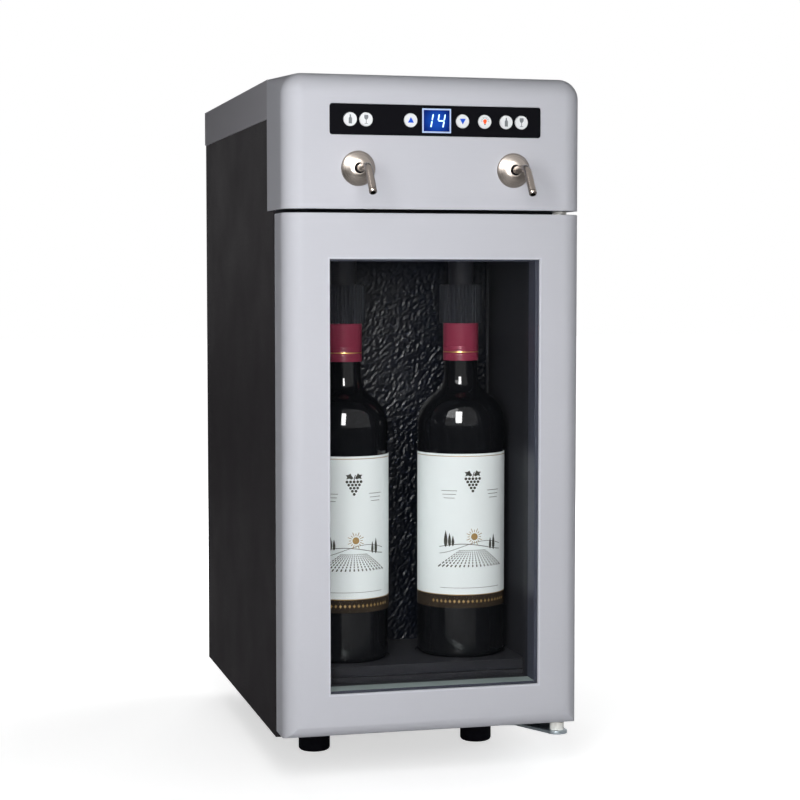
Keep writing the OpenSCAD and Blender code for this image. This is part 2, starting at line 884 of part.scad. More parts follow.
module bottle_heads() {
    color("#26282b") for (sx = [-1, 1]) translate([sx * bottle_x, bottle_y, z_head]) difference() {
        union() {
            cylinder(r = head_r - 1, h = head_h);
            linear_extrude(head_h - 1) polygon([
                for (i = [0:4 * head_ribs - 1]) rib_point(i, i % 4 < 2 ? head_r : head_r - rib_h)
            ]);
        }
        translate([0, 0, -1]) cylinder(r = capsule_r + 0.4, h = head_skirt + seal_t + 1.1);
        cylinder(r = tube_r + 0.6, h = head_h + 1);
    }
}

module head_seals() {
    color("#d9dadd") for (sx = [-1, 1]) translate([sx * bottle_x, bottle_y, z_mouth]) difference() {
        union() {
            translate([0, 0, -seal_plug])
                cylinder(r1 = mouth_r - 1.4, r2 = mouth_r - 0.1, h = seal_plug + eps);
            cylinder(r = neck_r - 0.4, h = seal_t);
        }
        translate([0, 0, -20]) cylinder(r = tube_r + fit_gap, h = 30);
    }
}

module draw_tubes() {
    length = z_shelf_top + tube_up - z_tube;
    color("#c9ccd0") for (sx = [-1, 1]) translate([sx * bottle_x, bottle_y, z_tube]) difference() {
        cylinder(r = tube_r, h = length);
        translate([0, 0, -1]) cylinder(r = tube_bore, h = length + 2);
    }
}

module docks() {
    z_stem = z_head + head_h + gap;
    half = dock_w / 2;
    color("#2b2d30") for (sx = [-1, 1]) translate([sx * bottle_x, bottle_y, 0]) difference() {
        union() {
            translate([0, 0, z_stem]) cylinder(r = dock_r, h = z_shelf_top - z_stem + eps);
            span([-half, -half, z_shelf_top], [half, half, dock_top]);
            rod_y([0, -half - barb_len + 1, spout_z], barb_r, barb_len);
            rod_y([0, half - 1, gas_z], barb_r, barb_len);
        }
        translate([0, 0, z_head]) cylinder(r = tube_r + fit_gap, h = z_shelf_top + tube_up - z_head);
        rod_y([0, -half - barb_len, spout_z], barb_bore, half + barb_len);
        rod_y([0, 0, gas_z], barb_bore, half + barb_len);
        translate([0, 0, z_shelf_top + tube_up / 2])
            cylinder(r = barb_bore, h = spout_z - z_shelf_top - tube_up / 2);
    }
}

module wine_hoses() {
    turn = hose_shift > 0 ? 0 : 180;
    color([0.85, 0.85, 0.82, 0.9]) for (sx = [-1, 1])
        translate([sx * bottle_x, hose_start_y, spout_z]) mirror([sx < 0 ? 1 : 0, 0, 0]) rotate([90, 0, 0])
            hose(hose_or, hose_ir, [
                ["run", hose_runs - hose_end], ["bend", hose_bend_r, hose_angle, turn],
                ["run", hose_mid], ["bend", hose_bend_r, hose_angle, 180 - turn], ["run", hose_end]
            ]);
}

module wine_valves() {
    y1 = hose_start_y - barb_len - 1;
    y0 = y1 - valve_d;
    top = spout_z + valve_up;
    color("#3a4a5a") for (sx = [-1, 1]) difference() {
        span([sx * bottle_x - valve_w / 2, y0, z_shelf_top], [sx * bottle_x + valve_w / 2, y1, top]);
        rod_y([sx * bottle_x, y0 - 1, spout_z], hose_or + fit_gap, valve_d + 2);
    }
    color("#b6babf") for (sx = [-1, 1])
        translate([sx * bottle_x, (y0 + y1) / 2, top - eps]) cylinder(r = coil_r, h = coil_h);
}

// ---- Bottles ----

// Half-width of the shoulder that swings from one radius to another, at a share t of its height
function shoulder(from_r, to_r, t) = to_r + (from_r - to_r) * (1 + cos(180 * t)) / 2;

module bottle(side) {
    inner_r = bottle_r - glass_t;
    shoulder_h = neck_low - body_top;
    color("#101a12") translate([side * bottle_x, bottle_y, z_bottle]) rotate_extrude() difference() {
        union() {
            square([bottle_r - heel_r, body_top]);
            translate([0, heel_r]) square([bottle_r, body_top - heel_r]);
            translate([bottle_r - heel_r, heel_r]) circle(heel_r);
            polygon([
                [0, body_top - 1], [bottle_r, body_top],
                for (t = [0.1:0.1:0.9]) [
                    neck_r + (shoulder(bottle_r, neck_r, t) - neck_r) * (1 - 0.06 * sin(180 * t)),
                    body_top + shoulder_h * t
                ],
                [neck_r, neck_low], [0, neck_low]
            ]);
            translate([0, neck_low - 1]) square([neck_r - 0.4, bottle_h - neck_low + 1]);
            translate([0, bottle_h - ring_h]) square([neck_r + 0.2, ring_h - 1]);
        }
        // Inside, with the punt in the base
        polygon([
            [0, 24], [14, 20], [inner_r - 5, 8], [inner_r, 14], [inner_r, body_top - 2],
            for (t = [0.2:0.1:0.9]) [shoulder(inner_r, mouth_r, t), body_top - 2 + shoulder_h * t],
            [mouth_r, neck_low], [mouth_r, bottle_h + 1], [0, bottle_h + 1]
        ]);
        polygon([[0, -1], [bottle_r - 12, -1], [bottle_r - 13, 1], [12, 14], [0, 16]]);
    }
}

module capsules() {
    color("#7d1f38") for (sx = [-1, 1])
        translate([sx * bottle_x, bottle_y, z_mouth - capsule_down - capsule_h]) difference() {
            cylinder(r = capsule_r, h = capsule_h);
            translate([0, 0, -1]) cylinder(r = neck_r + 0.25, h = capsule_h + 2);
        }
}

module labels() {
    color("#e9eeec") for (sx = [-1, 1]) translate([sx * bottle_x, bottle_y, z_bottle + label_low])
        rotate(270 - label_turn / 2) rotate_extrude(angle = label_turn)
            translate([bottle_r + fit_gap, 0]) square([label_t, label_h]);
}

module cabin_lamp() {
    y0 = y_cab + 5;
    color("#f2f4f6") span([-lamp_hw, y0, z_ceiling - lamp_h], [lamp_hw, y0 + lamp_d, z_ceiling]);
}

// ---- Cooling ----

module cooling_block() {
    half = block_w / 2;
    chip = 20;
    color("#c9ccd0") span([-half, y_plate, z_cool - half], [half, y_foam, z_cool + half]);
    color("#f2f2ee") span([-chip, y_foam - eps, z_cool - chip], [chip, y_sink, z_cool + chip]);
}

module heat_sink() {
    half = sink_w / 2;
    color("#c5c8cc") {
        span([-half, y_sink, z_cool - half], [half, y_sink + sink_base, z_cool + half]);
        for (i = [0:fins - 1]) {
            x = -half + i * (sink_w - fin_t) / (fins - 1);
            span([x, y_sink + sink_base - eps, z_cool - half], [x + fin_t, y_fan, z_cool + half]);
        }
    }
}

module fan_housing() {
    y_back = y_fan + fan_t - strut_t;
    color("#1a1a1c") {
        difference() {
            plate_y(z_cool, y_fan, y_fan + fan_t) round_rect(fan_w, fan_w, 4);
            rod_y([0, y_fan - 1, z_cool], fan_bore, fan_t + 2);
            for (sx = [-1, 1], sz = [-1, 1])
                rod_y([sx * (fan_w / 2 - 5), y_fan - 1, z_cool + sz * (fan_w / 2 - 5)], 2.2, fan_t + 2);
        }
        // Motor mount and its struts on the outlet side, and the spindle
        rod_y([0, y_back, z_cool], fan_hub, strut_t);
        for (a = [0:90:270]) translate([0, y_back, z_cool]) rotate([0, a, 0])
            span([fan_hub - 2, 0, -2], [fan_bore + 1, strut_t, 2]);
        rod_y([0, y_fan + 2 * rotor_in, z_cool], fan_spindle, fan_t - 2 * rotor_in - strut_t + 1);
    }
}

module fan_rotor() {
    y0 = y_fan + rotor_in;
    color("#2a2a2e") difference() {
        union() {
            rod_y([0, y0, z_cool], fan_hub, rotor_t);
            for (i = [0:fan_blades - 1]) intersection() {
                translate([0, y0, z_cool]) rotate([0, i * 360 / fan_blades, 0])
                    translate([fan_hub - 3, rotor_t / 2, 0]) rotate([blade_pitch, 0, 0])
                        translate([0, -blade_w / 2, -blade_t / 2])
                            cube([fan_bore - fan_hub + 2, blade_w, blade_t]);
                rod_y([0, y0, z_cool], fan_bore - fan_tip_gap, rotor_t);
            }
        }
        rod_y([0, y0 + 2, z_cool], fan_spindle + fit_gap, fan_t);
    }
}

// ---- Gas and power ----

module gas_canister() {
    top = canister_h;
    color("#8f979d") translate([can_x, can_y, z_can]) rotate_extrude() {
        square([can_r - can_heel, top]);
        translate([0, can_heel]) square([can_r, top - can_heel]);
        translate([can_r - can_heel, can_heel]) circle(can_heel);
        polygon([[0, top - 1], [can_r, top], [can_r * 0.86, top + 10], [12, top + 20], [9, top + can_neck],
            [0, top + can_neck]]);
    }
    // Cup that locates the canister on the base plate
    color("#3a3c40") translate([can_x, can_y, foot_h + sheet_t]) difference() {
        cylinder(r = can_r + cradle_t, h = cradle_h);
        translate([0, 0, cradle_t]) cylinder(r = can_r + gap, h = cradle_h);
    }
}

module gas_regulator() {
    half = regulator_h / 2;
    color("#b9a15a") translate([can_x, can_y, z_valve]) {
        cylinder(r = regulator_r, h = regulator_h);
        translate([0, 0, regulator_h - eps]) cylinder(r = knob_post[0], h = knob_post[1]);
        // Outlet barb
        translate([regulator_r - 1, 0, half]) rotate([0, 90, 0]) cylinder(r = barb_r, h = barb_len + 1);
        // Pressure gauge on its stem
        rod_y([0, regulator_r - 2, half], knob_post[0], 8);
        rod_y([0, regulator_r + 4, half], gauge_r, gauge_t);
    }
}

module regulator_knob() {
    color("#1c1c1e") translate([can_x, can_y, z_valve + regulator_h + gap]) difference() {
        union() {
            cylinder(r = knob_r, h = knob_h);
            for (i = [0:knob_grips - 1]) rotate(i * 360 / knob_grips) translate([knob_r - 0.8, 0, 0])
                cylinder(r = 1.6, h = knob_h - 2);
        }
        translate([0, 0, -1]) cylinder(r = knob_post[0] + fit_gap, h = knob_post[1] + 1.5);
    }
}

module gas_lines() {
    z_outlet = z_valve + regulator_h / 2;
    riser = z_hood - 6 - z_outlet - gas_bend_r;
    z_top = z_shelf_top + manifold_h;
    y_front = can_y - manifold_d / 2;
    // Hose from the regulator up to the manifold
    color("#4a6fa5") translate([can_x + regulator_r + 2, can_y, z_outlet]) rotate([0, 90, 0])
        hose(hose_or, hose_ir, [["run", gas_lead], ["bend", gas_bend_r, 90, 180], ["run", riser]]);
    // Manifold with its two gas valves
    color("#9aa0a6") {
        span([manifold_low, y_front, z_shelf_top], [manifold_high, y_front + manifold_d, z_top]);
        translate([gas_riser_x, can_y, z_hood - 14]) cylinder(r = barb_r, h = 20);
        for (sx = [-1, 1]) {
            translate([sx * 20, can_y, z_top - eps]) cylinder(r = coil_r, h = coil_h + 2);
            rod_y([sx * gas_x, y_front - barb_len + 1, gas_z], barb_r, barb_len);
        }
    }
    color("#4a6fa5") for (sx = [-1, 1])
        translate([sx * gas_x, y_front - 1, gas_z]) mirror([sx < 0 ? 1 : 0, 0, 0]) rotate([90, 0, 0])
            hose(hose_or, hose_ir, [
                ["run", gas_first_run], ["bend", gas_twin_r, 90, 0], ["bend", gas_twin_r, 90, 180],
                ["run", y_front - 1 - gas_first_run - 2 * gas_twin_r - (bottle_y + dock_w / 2 + 1)]
            ]);
}

module power_unit() {
    // Supply on the base plate
    color("#a4a8ac") span([supply_x, y_rear - 38 - supply[1], foot_h + sheet_t],
        [supply_x + supply[0], y_rear - 38, foot_h + sheet_t + supply[2]]);
    // Mains inlet in the rear cover: body, flange and the socket for the lead
    color("#141416") difference() {
        union() {
            inlet_block(inlet[0] - 0.4, inlet[1] - 0.4, -socket[2] - 4, sheet_t);
            inlet_block(inlet_flange[0], inlet_flange[1], sheet_t, sheet_t + inlet_flange[2]);
        }
        inlet_block(socket[0], socket[1], -socket[2] + 2, 6);
    }
}

// A block of the mains inlet, centred on it, between two distances behind the rear cover's front
module inlet_block(w, h, from_y, to_y) {
    translate([inlet_x, 0, inlet_z])
        span([-w / 2, y_rear + from_y, -h / 2], [w / 2, y_rear + to_y, h / 2]);
}

place() base_plate();
place() side_panel(-1);  // left_side_panel
place() side_panel(1);  // right_side_panel
place() top_cover();
place() rear_cover();
place() rear_hatch();
place() hatch_pins();
place() control_hood();
place() service_shelf();
place() inner_liner();
place() insulation();
place() cold_plate();
place() bottle_tray();
place() feet();
place() foot_screws();
place() door_frame();
place() door_inner_frame();
place() pane(lip_t);  // outer_pane
place() pane_spacer();
place() pane(y_pane2);  // inner_pane
place() door_gasket();
place() lower_hinge_bracket();
place() upper_hinge_bracket();
place() hinge_bushes();
place() control_strip();
place() display_frame();
place() display_screen();
place() button(0);  // left_bottle_button
place() button(1);  // left_glass_button
place() button(2);  // up_button
place() button(3);  // down_button
place() button(4);  // lamp_button
place() button(5);  // right_bottle_button
place() button(6);  // right_glass_button
place() control_board();
place() spout(-1);  // left_spout
place() spout(1);  // right_spout
place() spout_domes();
place() spout_grommets();
place() spout_nuts();
place() bottle_heads();
place() head_seals();
place() draw_tubes();
place() docks();
place() wine_hoses();
place() wine_valves();
place() bottle(-1);  // left_bottle
place() bottle(1);  // right_bottle
place() capsules();
place() labels();
place() cabin_lamp();
place() cooling_block();
place() heat_sink();
place() fan_housing();
place() fan_rotor();
place() gas_canister();
place() gas_regulator();
place() regulator_knob();
place() gas_lines();
place() power_unit();
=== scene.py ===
"""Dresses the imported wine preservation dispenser: fine shapes, finishes, camera and studio light.

Every size is in millimetres unless a name says otherwise. A place is (x, y, z): x to the right of the middle,
y behind the face of the door, and z above the table.
"""
import json
import logging
import math
from dataclasses import dataclass, field, replace
from enum import Enum
from typing import Callable, Iterable, Sequence

import bmesh
import bpy
from mathutils import Matrix, Vector, noise


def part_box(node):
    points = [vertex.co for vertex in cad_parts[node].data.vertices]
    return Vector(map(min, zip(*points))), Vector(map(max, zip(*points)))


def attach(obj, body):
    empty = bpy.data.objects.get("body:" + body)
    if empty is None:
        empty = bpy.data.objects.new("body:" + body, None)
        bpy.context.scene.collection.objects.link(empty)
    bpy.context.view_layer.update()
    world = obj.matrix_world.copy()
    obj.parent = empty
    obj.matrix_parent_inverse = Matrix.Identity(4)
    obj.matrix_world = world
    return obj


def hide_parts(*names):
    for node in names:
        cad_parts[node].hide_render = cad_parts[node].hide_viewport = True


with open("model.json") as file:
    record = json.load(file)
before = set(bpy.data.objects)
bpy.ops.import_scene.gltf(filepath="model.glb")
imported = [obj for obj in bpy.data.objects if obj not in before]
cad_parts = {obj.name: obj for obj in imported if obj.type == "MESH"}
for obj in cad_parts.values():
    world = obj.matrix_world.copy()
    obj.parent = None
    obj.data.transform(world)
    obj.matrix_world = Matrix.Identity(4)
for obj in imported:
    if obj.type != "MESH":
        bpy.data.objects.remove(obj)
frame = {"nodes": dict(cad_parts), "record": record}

LOG = logging.getLogger("dispenser")
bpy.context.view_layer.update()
MM = 0.001
FACE_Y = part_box("door_frame")[0].y
BODIES: dict[str, list[str]] = frame["record"]["behaviour"]["bodies"]
BODY_OF: dict[str, str] = {node: body for body, nodes in BODIES.items() for node in nodes}
SLOT_OF: dict[str, str] = {part["node"]: part["material_slot"] for part in frame["record"]["subparts"]}

Point = Sequence[float]
Outline = list[tuple[float, float]]


# ---------------------------------------------------------------- places and colours


def at(x: float, y: float, z: float) -> Vector:
    """Turns a place in the object's own millimetres into the frame's metres.

    Args:
        x: Distance to the right of the middle.
        y: Distance behind the face of the door.
        z: Height above the table.

    Returns:
        The point in metres.
    """
    return Vector((x * MM, FACE_Y + y * MM, z * MM))


@dataclass(frozen=True)
class Extent:
    """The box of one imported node, in the object's own millimetres."""

    low: Vector
    high: Vector

    @classmethod
    def of(cls, node: str) -> "Extent":
        """Measures a node of the frame.

        Args:
            node: The node's name.

        Returns:
            Its extent.
        """
        low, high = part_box(node)
        shift = Vector((0, FACE_Y, 0))
        return cls((Vector(low) - shift) / MM, (Vector(high) - shift) / MM)

    @property
    def middle(self) -> Vector:
        """The centre of the box."""
        return (self.low + self.high) / 2

    @property
    def size(self) -> Vector:
        """The sides of the box."""
        return self.high - self.low


def linear(code: str) -> tuple[float, float, float, float]:
    """Turns an sRGB hex colour into the linear values that the shader takes.

    Args:
        code: Six hex digits after a hash sign.

    Returns:
        Linear red, green, blue and an alpha of 1.
    """
    parts = [int(code[i : i + 2], 16) / 255 for i in (1, 3, 5)]
    red, green, blue = [c / 12.92 if c <= 0.04045 else ((c + 0.055) / 1.055) ** 2.4 for c in parts]
    return red, green, blue, 1.0


# ---------------------------------------------------------------- finishes


def add_node(tree: bpy.types.NodeTree, kind: str, settings: dict | None = None,
             inputs: dict | None = None) -> bpy.types.Node:
    """Adds one shader node.

    Args:
        tree: The tree that the node goes into.
        kind: The node's type.
        settings: Values of its own properties.
        inputs: For each input, by name or number, a socket to link or a value to set.

    Returns:
        The node.
    """
    node = tree.nodes.new(kind)
    for name, value in (settings or {}).items():
        setattr(node, name, value)
    for key, value in (inputs or {}).items():
        if isinstance(value, bpy.types.NodeSocket):
            tree.links.new(value, node.inputs[key])
        else:
            node.inputs[key].default_value = value
    return node


def new_material(name: str) -> bpy.types.Material:
    """Makes a material with an empty tree."""
    made = bpy.data.materials.new(name)
    made.use_nodes = True
    made.node_tree.nodes.clear()
    return made


def object_point(tree: bpy.types.NodeTree) -> bpy.types.NodeSocket:
    """Gives the socket with the point on the object, in metres."""
    return add_node(tree, "ShaderNodeTexCoord").outputs["Object"]


def end_tree(tree: bpy.types.NodeTree, inputs: dict) -> None:
    """Ends a material's tree in its shader.

    Args:
        tree: The material's tree.
        inputs: The shader's inputs, as add_node takes them.
    """
    shader = add_node(tree, "ShaderNodeBsdfPrincipled", {}, inputs)
    add_node(tree, "ShaderNodeOutputMaterial", {}, {"Surface": shader.outputs[0]})


class Texture(Enum):
    """How the surface of a finish was made, which sets the shape of its fine pattern."""

    GRAIN = "cast or sprayed: an even grain"
    BRUSHED_X = "brushed along X"
    BRUSHED_Z = "brushed along Z"
    DRAWN_Y = "drawn or rolled along Y"
    TURNED = "turned: rings about the two spout axes"


@dataclass(frozen=True)
class Finish:
    """A surface finish: one real material and the process that made its surface.

    The pattern varies colour, roughness and relief together, as one cause does on the real surface.
    """

    name: str
    colour: str
    roughness: float
    metallic: float = 0.0
    ior: float = 1.5
    specular: float = 0.5
    texture: Texture = Texture.GRAIN
    pattern: float = 0.6
    tone: float = 0.04
    gloss_spread: float = 0.06
    relief: float = 0.0
    coat: float = 0.0
    alpha: float = 1.0
    glow: float = 0.0
    patina: float = 60.0
    anisotropy: float = 0.0
    turned_axis: tuple[float, float] = (0.0, 0.0)

    def material(self) -> bpy.types.Material:
        """Makes the material, or gives the one made before under the same name.

        Returns:
            The Blender material.
        """
        made = bpy.data.materials.get(self.name)
        if made:
            return made
        made = new_material(self.name)
        tree = made.node_tree
        fine = self.fine_pattern(tree)
        broad = add_node(tree, "ShaderNodeTexNoise", {}, {
            "Vector": object_point(tree), "Scale": 1 / (self.patina * MM), "Detail": 2.0}).outputs["Fac"]
        mixed = add_node(tree, "ShaderNodeMix", {"data_type": "FLOAT"}, {
            0: 0.4, 2: fine, 3: broad}).outputs[0]
        base = linear(self.colour)
        low = tuple(c * (1 - self.tone) for c in base[:3]) + (1.0,)
        high = tuple(min(1.0, c * (1 + self.tone)) for c in base[:3]) + (1.0,)
        tint = add_node(tree, "ShaderNodeMix", {"data_type": "RGBA"}, {
            0: mixed, 6: low, 7: high}).outputs[2]
        rough = add_node(tree, "ShaderNodeMapRange", {}, {
            "Value": mixed, "From Min": 0.3, "From Max": 0.7,
            "To Min": max(0.02, self.roughness - self.gloss_spread),
            "To Max": min(1.0, self.roughness + self.gloss_spread)}).outputs[0]
        inputs = {
            "Base Color": tint, "Roughness": rough, "Metallic": self.metallic, "IOR": self.ior,
            "Specular IOR Level": self.specular, "Coat Weight": self.coat, "Coat Roughness": 0.06,
            "Alpha": self.alpha}
        if self.anisotropy:
            turned_face = self.texture is Texture.TURNED
            inputs["Anisotropic"] = self.anisotropy
            inputs["Anisotropic Rotation"] = 0.0 if turned_face else 0.25
            inputs["Tangent"] = add_node(tree, "ShaderNodeTangent", {
                "direction_type": "RADIAL", "axis": "Y" if turned_face else "Z"}).outputs[0]
        if self.relief:
            inputs["Normal"] = add_node(tree, "ShaderNodeBump", {}, {
                "Height": fine, "Distance": self.relief * MM, "Strength": 1.0}).outputs[0]
        if self.glow:
            inputs["Emission Color"] = base
            inputs["Emission Strength"] = self.glow
        end_tree(tree, inputs)
        return made

    def fine_pattern(self, tree: bpy.types.NodeTree) -> bpy.types.NodeSocket:
        """Makes the fine pattern at its real scale.

        Args:
            tree: The material's tree.

        Returns:
            The socket with the pattern, from 0 to 1.
        """
        point = object_point(tree)
        if self.texture is Texture.TURNED:
            parts = add_node(tree, "ShaderNodeSeparateXYZ", {}, {0: point})
            side = add_node(tree, "ShaderNodeMath", {"operation": "ABSOLUTE"}, {0: parts.outputs[0]})
            across = add_node(tree, "ShaderNodeMath", {"operation": "SUBTRACT"}, {
                0: side.outputs[0], 1: self.turned_axis[0] * MM})
            above = add_node(tree, "ShaderNodeMath", {"operation": "SUBTRACT"}, {
                0: parts.outputs[2], 1: self.turned_axis[1] * MM})
            flat = add_node(tree, "ShaderNodeCombineXYZ", {}, {0: across.outputs[0], 1: above.outputs[0]})
            radius = add_node(tree, "ShaderNodeVectorMath", {"operation": "LENGTH"}, {0: flat.outputs[0]})
            return add_node(tree, "ShaderNodeTexNoise", {"noise_dimensions": "1D"}, {
                "W": radius.outputs["Value"], "Scale": 1 / (self.pattern * MM), "Detail": 3.0}).outputs["Fac"]
        stretch = {
            Texture.GRAIN: (1, 1, 1), Texture.BRUSHED_X: (0.02, 1, 1),
            Texture.BRUSHED_Z: (1, 1, 0.02), Texture.DRAWN_Y: (1, 0.02, 1)}[self.texture]
        scaled = add_node(tree, "ShaderNodeMapping", {}, {"Vector": point, "Scale": stretch}).outputs[0]
        return add_node(tree, "ShaderNodeTexNoise", {}, {
            "Vector": scaled, "Scale": 1 / (self.pattern * MM), "Detail": 3.0,
            "Roughness": 0.6}).outputs["Fac"]


# Silver acrylic lacquer sprayed on moulded ABS and wiped level: streaks along X draw a highlight upright.
SILVER_LACQUER = Finish("silver_lacquer_sprayed", "#c0c1c8", 0.26, metallic=0.001, specular=0.0,
                        texture=Texture.BRUSHED_X, pattern=0.5, tone=0.03, gloss_spread=0.04, relief=0.004,
                        anisotropy=0.8)
# The same lacquer on the bevel round the window, painted lighter: a painted highlight along the window's
# edge, with a little real gloss.
LACQUER_PAINTED_HIGHLIGHT = Finish("silver_lacquer_bevel_painted_highlight", "#cfd1d9", 0.25, metallic=0.05, specular=0.05, pattern=0.5,
                      tone=0.02)
# Grey lacquer on the top cover: the same spray over a darker base, which leaves it soft and even.
GREY_LACQUER = Finish("grey_lacquer_sprayed", "#adacb2", 0.42, specular=0.0, pattern=0.35, tone=0.03,
                      relief=0.006)
# Steel sheet with a fine textured powder coat: near black and matt, with a broken surface.
POWDER_BLACK = Finish("steel_powder_coated_black", "#2d2a2d", 0.5, specular=0.006, pattern=0.8, tone=0.1,
                      gloss_spread=0.1, relief=0.03)
# Galvanised sheet: grey with large dull spangles.
GALVANISED = Finish("steel_galvanised", "#9a9da0", 0.45, metallic=0.9, pattern=6, tone=0.12,
                    gloss_spread=0.12)
# Zinc plated and brightened steel: pale, with a cold blue cast and a fine drawn grain.
ZINC_PLATE = Finish("steel_zinc_plated", "#aab4ba", 0.3, metallic=1.0, texture=Texture.BRUSHED_X,
                    pattern=0.35, tone=0.08, gloss_spread=0.1, relief=0.006)
# Injection moulded black polystyrene: the liner and the tray, with a faint spark-eroded grain.
BLACK_MOULDED = Finish("polystyrene_moulded_black", "#2e2f34", 0.5, specular=0.08, pattern=0.5, tone=0.1,
                       relief=0.012)
# Stucco embossed aluminium sheet, black lacquered: glossy, so each pebble catches a point of light. The
# wrinkles on the pebbles are drawn coarser than real ones, so that they show.
EMBOSSED_BLACK = Finish("aluminium_embossed_black", "#10131c", 0.07, specular=0.17, pattern=0.9, tone=0.1,
                        gloss_spread=0.02, relief=0.26)
# Moulded EPDM rubber: feet, gasket and grommets, dull with a dusty bloom.
RUBBER = Finish("rubber_moulded_black", "#141419", 0.62, specular=0.02, pattern=0.9, tone=0.12, relief=0.01)
# Float glass, coated against glare: almost clear, so only a trace of it shows over the dark cabinet.
FLOAT_GLASS = Finish("glass_float_coated", "#0a0f0e", 0.03, alpha=0.015, pattern=40, tone=0.02,
                     gloss_spread=0.01)
# Rolled aluminium spacer of the glazing unit, seen through green glass, in a pale colour that is painted
# light: the sill that faces up is drawn lit.
SPACER_PAINTED_LIT = Finish("aluminium_spacer_painted_lit", "#a3b1af", 0.45, metallic=0.1, specular=0.1,
                      texture=Texture.BRUSHED_X, pattern=0.5, tone=0.05)
# The spacer's upright and upper lengths in the same aluminium, painted dark: painted shade and a painted
# reflection of the dark cabinet, so that the edge of the window stays dark.
SPACER_PAINTED_SHADE = Finish("aluminium_spacer_painted_shade", "#484b57", 0.4, specular=0.1, texture=Texture.BRUSHED_Z,
                     pattern=1.2, tone=0.25)
# Moulded nylon bush: milky white and waxy.
NYLON = Finish("nylon_moulded_white", "#dddcd6", 0.4, pattern=0.8, tone=0.03)
# Acrylic strip, polished and painted black behind: deep black with a hard gloss.
ACRYLIC_BLACK = Finish("acrylic_polished_black", "#111115", 0.16, specular=0.02, pattern=8, tone=0.05,
                       gloss_spread=0.02)
# Silver-white polycarbonate film, moulded over the buttons: a pearl sheen.
BUTTON_FILM = Finish("polycarbonate_film_pearl", "#e6e8ea", 0.3, specular=0.05, pattern=0.5, tone=0.05)
# Cast acrylic light guide that borders the display: pale blue, as it carries some of the screen's light.
LIGHT_GUIDE = Finish("acrylic_light_guide", "#b4c6ea", 0.3, specular=0.1, glow=0.12, pattern=2, tone=0.03)
# Screen-printed inks of the signs: flat and slightly raised, and lit a little through the film.
INK_GREY = Finish("ink_printed_grey", "#7b8084", 0.5, specular=0.05, pattern=0.4, tone=0.06)
INK_BLUE = Finish("ink_printed_blue", "#1a52cc", 0.45, specular=0.05, pattern=0.4, tone=0.05, glow=0.1)
INK_ORANGE = Finish("ink_printed_orange", "#f4602a", 0.45, specular=0.05, pattern=0.4, tone=0.05, glow=0.15)
# Backlit segments of the moulded display: pale cyan, brighter than paper.
LIT_SEGMENT = Finish("segment_lit_cyan", "#c4f0ff", 0.4, specular=0.05, glow=1.1, pattern=0.8, tone=0.05)
# Copper-clad laminate, coated with solder mask: a glossy bottle green.
CIRCUIT_BOARD = Finish("laminate_solder_mask_green", "#1c5a38", 0.3, pattern=1.5, tone=0.2)
# Satin nickel on turned brass: warm grey, with fine rings that spread the highlight into a fan.
NICKEL_TURNED = Finish("brass_satin_nickel_turned", "#9a928b", 0.3, metallic=1.0, texture=Texture.TURNED,
                       pattern=0.5, tone=0.14, gloss_spread=0.08, relief=0.012, anisotropy=0.75)
# The same nickel on drawn tube: smoother, with a faint grain along it.
NICKEL_TUBE = Finish("tube_satin_nickel", "#7f7771", 0.2, metallic=1.0, texture=Texture.DRAWN_Y, pattern=0.4,
                     tone=0.08)
# Turned brass of the nuts and the regulator: yellow metal with a tight highlight.
BRASS = Finish("brass_turned", "#b8924c", 0.28, metallic=1.0, pattern=0.5, tone=0.1)
# Ribbed polypropylene bottle head: black, with a dull blue-grey light along each rib.
HEAD_PLASTIC = Finish("polypropylene_moulded_ribbed", "#303237", 0.38, specular=0.02, pattern=0.5, tone=0.1,
                      relief=0.008)
# Extruded clear silicone of hoses and seals: cloudy, and soft to the eye.
SILICONE = Finish("silicone_extruded_clear", "#c9ccca", 0.4, alpha=0.75, pattern=1.5, tone=0.04)
# Drawn stainless tube: bright, with a long thin highlight.
STAINLESS = Finish("stainless_tube_drawn", "#b9bbbd", 0.22, metallic=1.0, texture=Texture.BRUSHED_Z,
                   pattern=0.4)
# Moulded glass-filled nylon of the valves: slate grey, with a dry and slightly rough skin.
VALVE_PLASTIC = Finish("nylon_glass_filled_grey", "#46525f", 0.5, pattern=0.7, tone=0.1, relief=0.01)
# Blown dark green bottle glass, full of red wine: black at a glance, with hard highlights.
BOTTLE_GLASS = Finish("glass_bottle_dark_green", "#16171a", 0.05, specular=0.24, pattern=25, tone=0.12,
                      gloss_spread=0.015)
# Polylaminate capsule: burgundy lacquer on foil, with a soft light on its round.
CAPSULE_FOIL = Finish("foil_lacquered_burgundy", "#943a50", 0.3, metallic=0.02, specular=0.12, pattern=0.8,
                      tone=0.1, gloss_spread=0.08, relief=0.012)
# Hot-stamped foil of the capsule's line: bright gold.
GOLD_FOIL = Finish("foil_gold_stamped", "#d8b06a", 0.3, metallic=0.9, pattern=0.6, tone=0.08)
# Laid label paper: a cold off-white with a fine tooth, and a faint glow that is painted light on the paper.
LABEL_PAPER_PAINTED_GLOW = Finish("paper_laid_offwhite_painted_glow", "#f2f9f9", 0.75, specular=0.02, glow=0.11,
                     texture=Texture.BRUSHED_X, pattern=0.5, tone=0.03, relief=0.01)
# Inks printed by lithography on the label: matt brown and grey, and a bronze that shines a little.
LABEL_BROWN = Finish("ink_litho_brown", "#3c342c", 0.6, specular=0.02, pattern=0.5, tone=0.1)
LABEL_GREY = Finish("ink_litho_grey", "#4b4c46", 0.65, specular=0.05, pattern=0.4, tone=0.15)
LABEL_GOLD = Finish("ink_bronze_gold", "#a2834c", 0.45, metallic=0.3, pattern=0.4, tone=0.1)
# Extruded opal acrylic of the lamp cover, unlit: milky white.
OPAL = Finish("acrylic_opal", "#e9ebee", 0.35, pattern=3, tone=0.02)
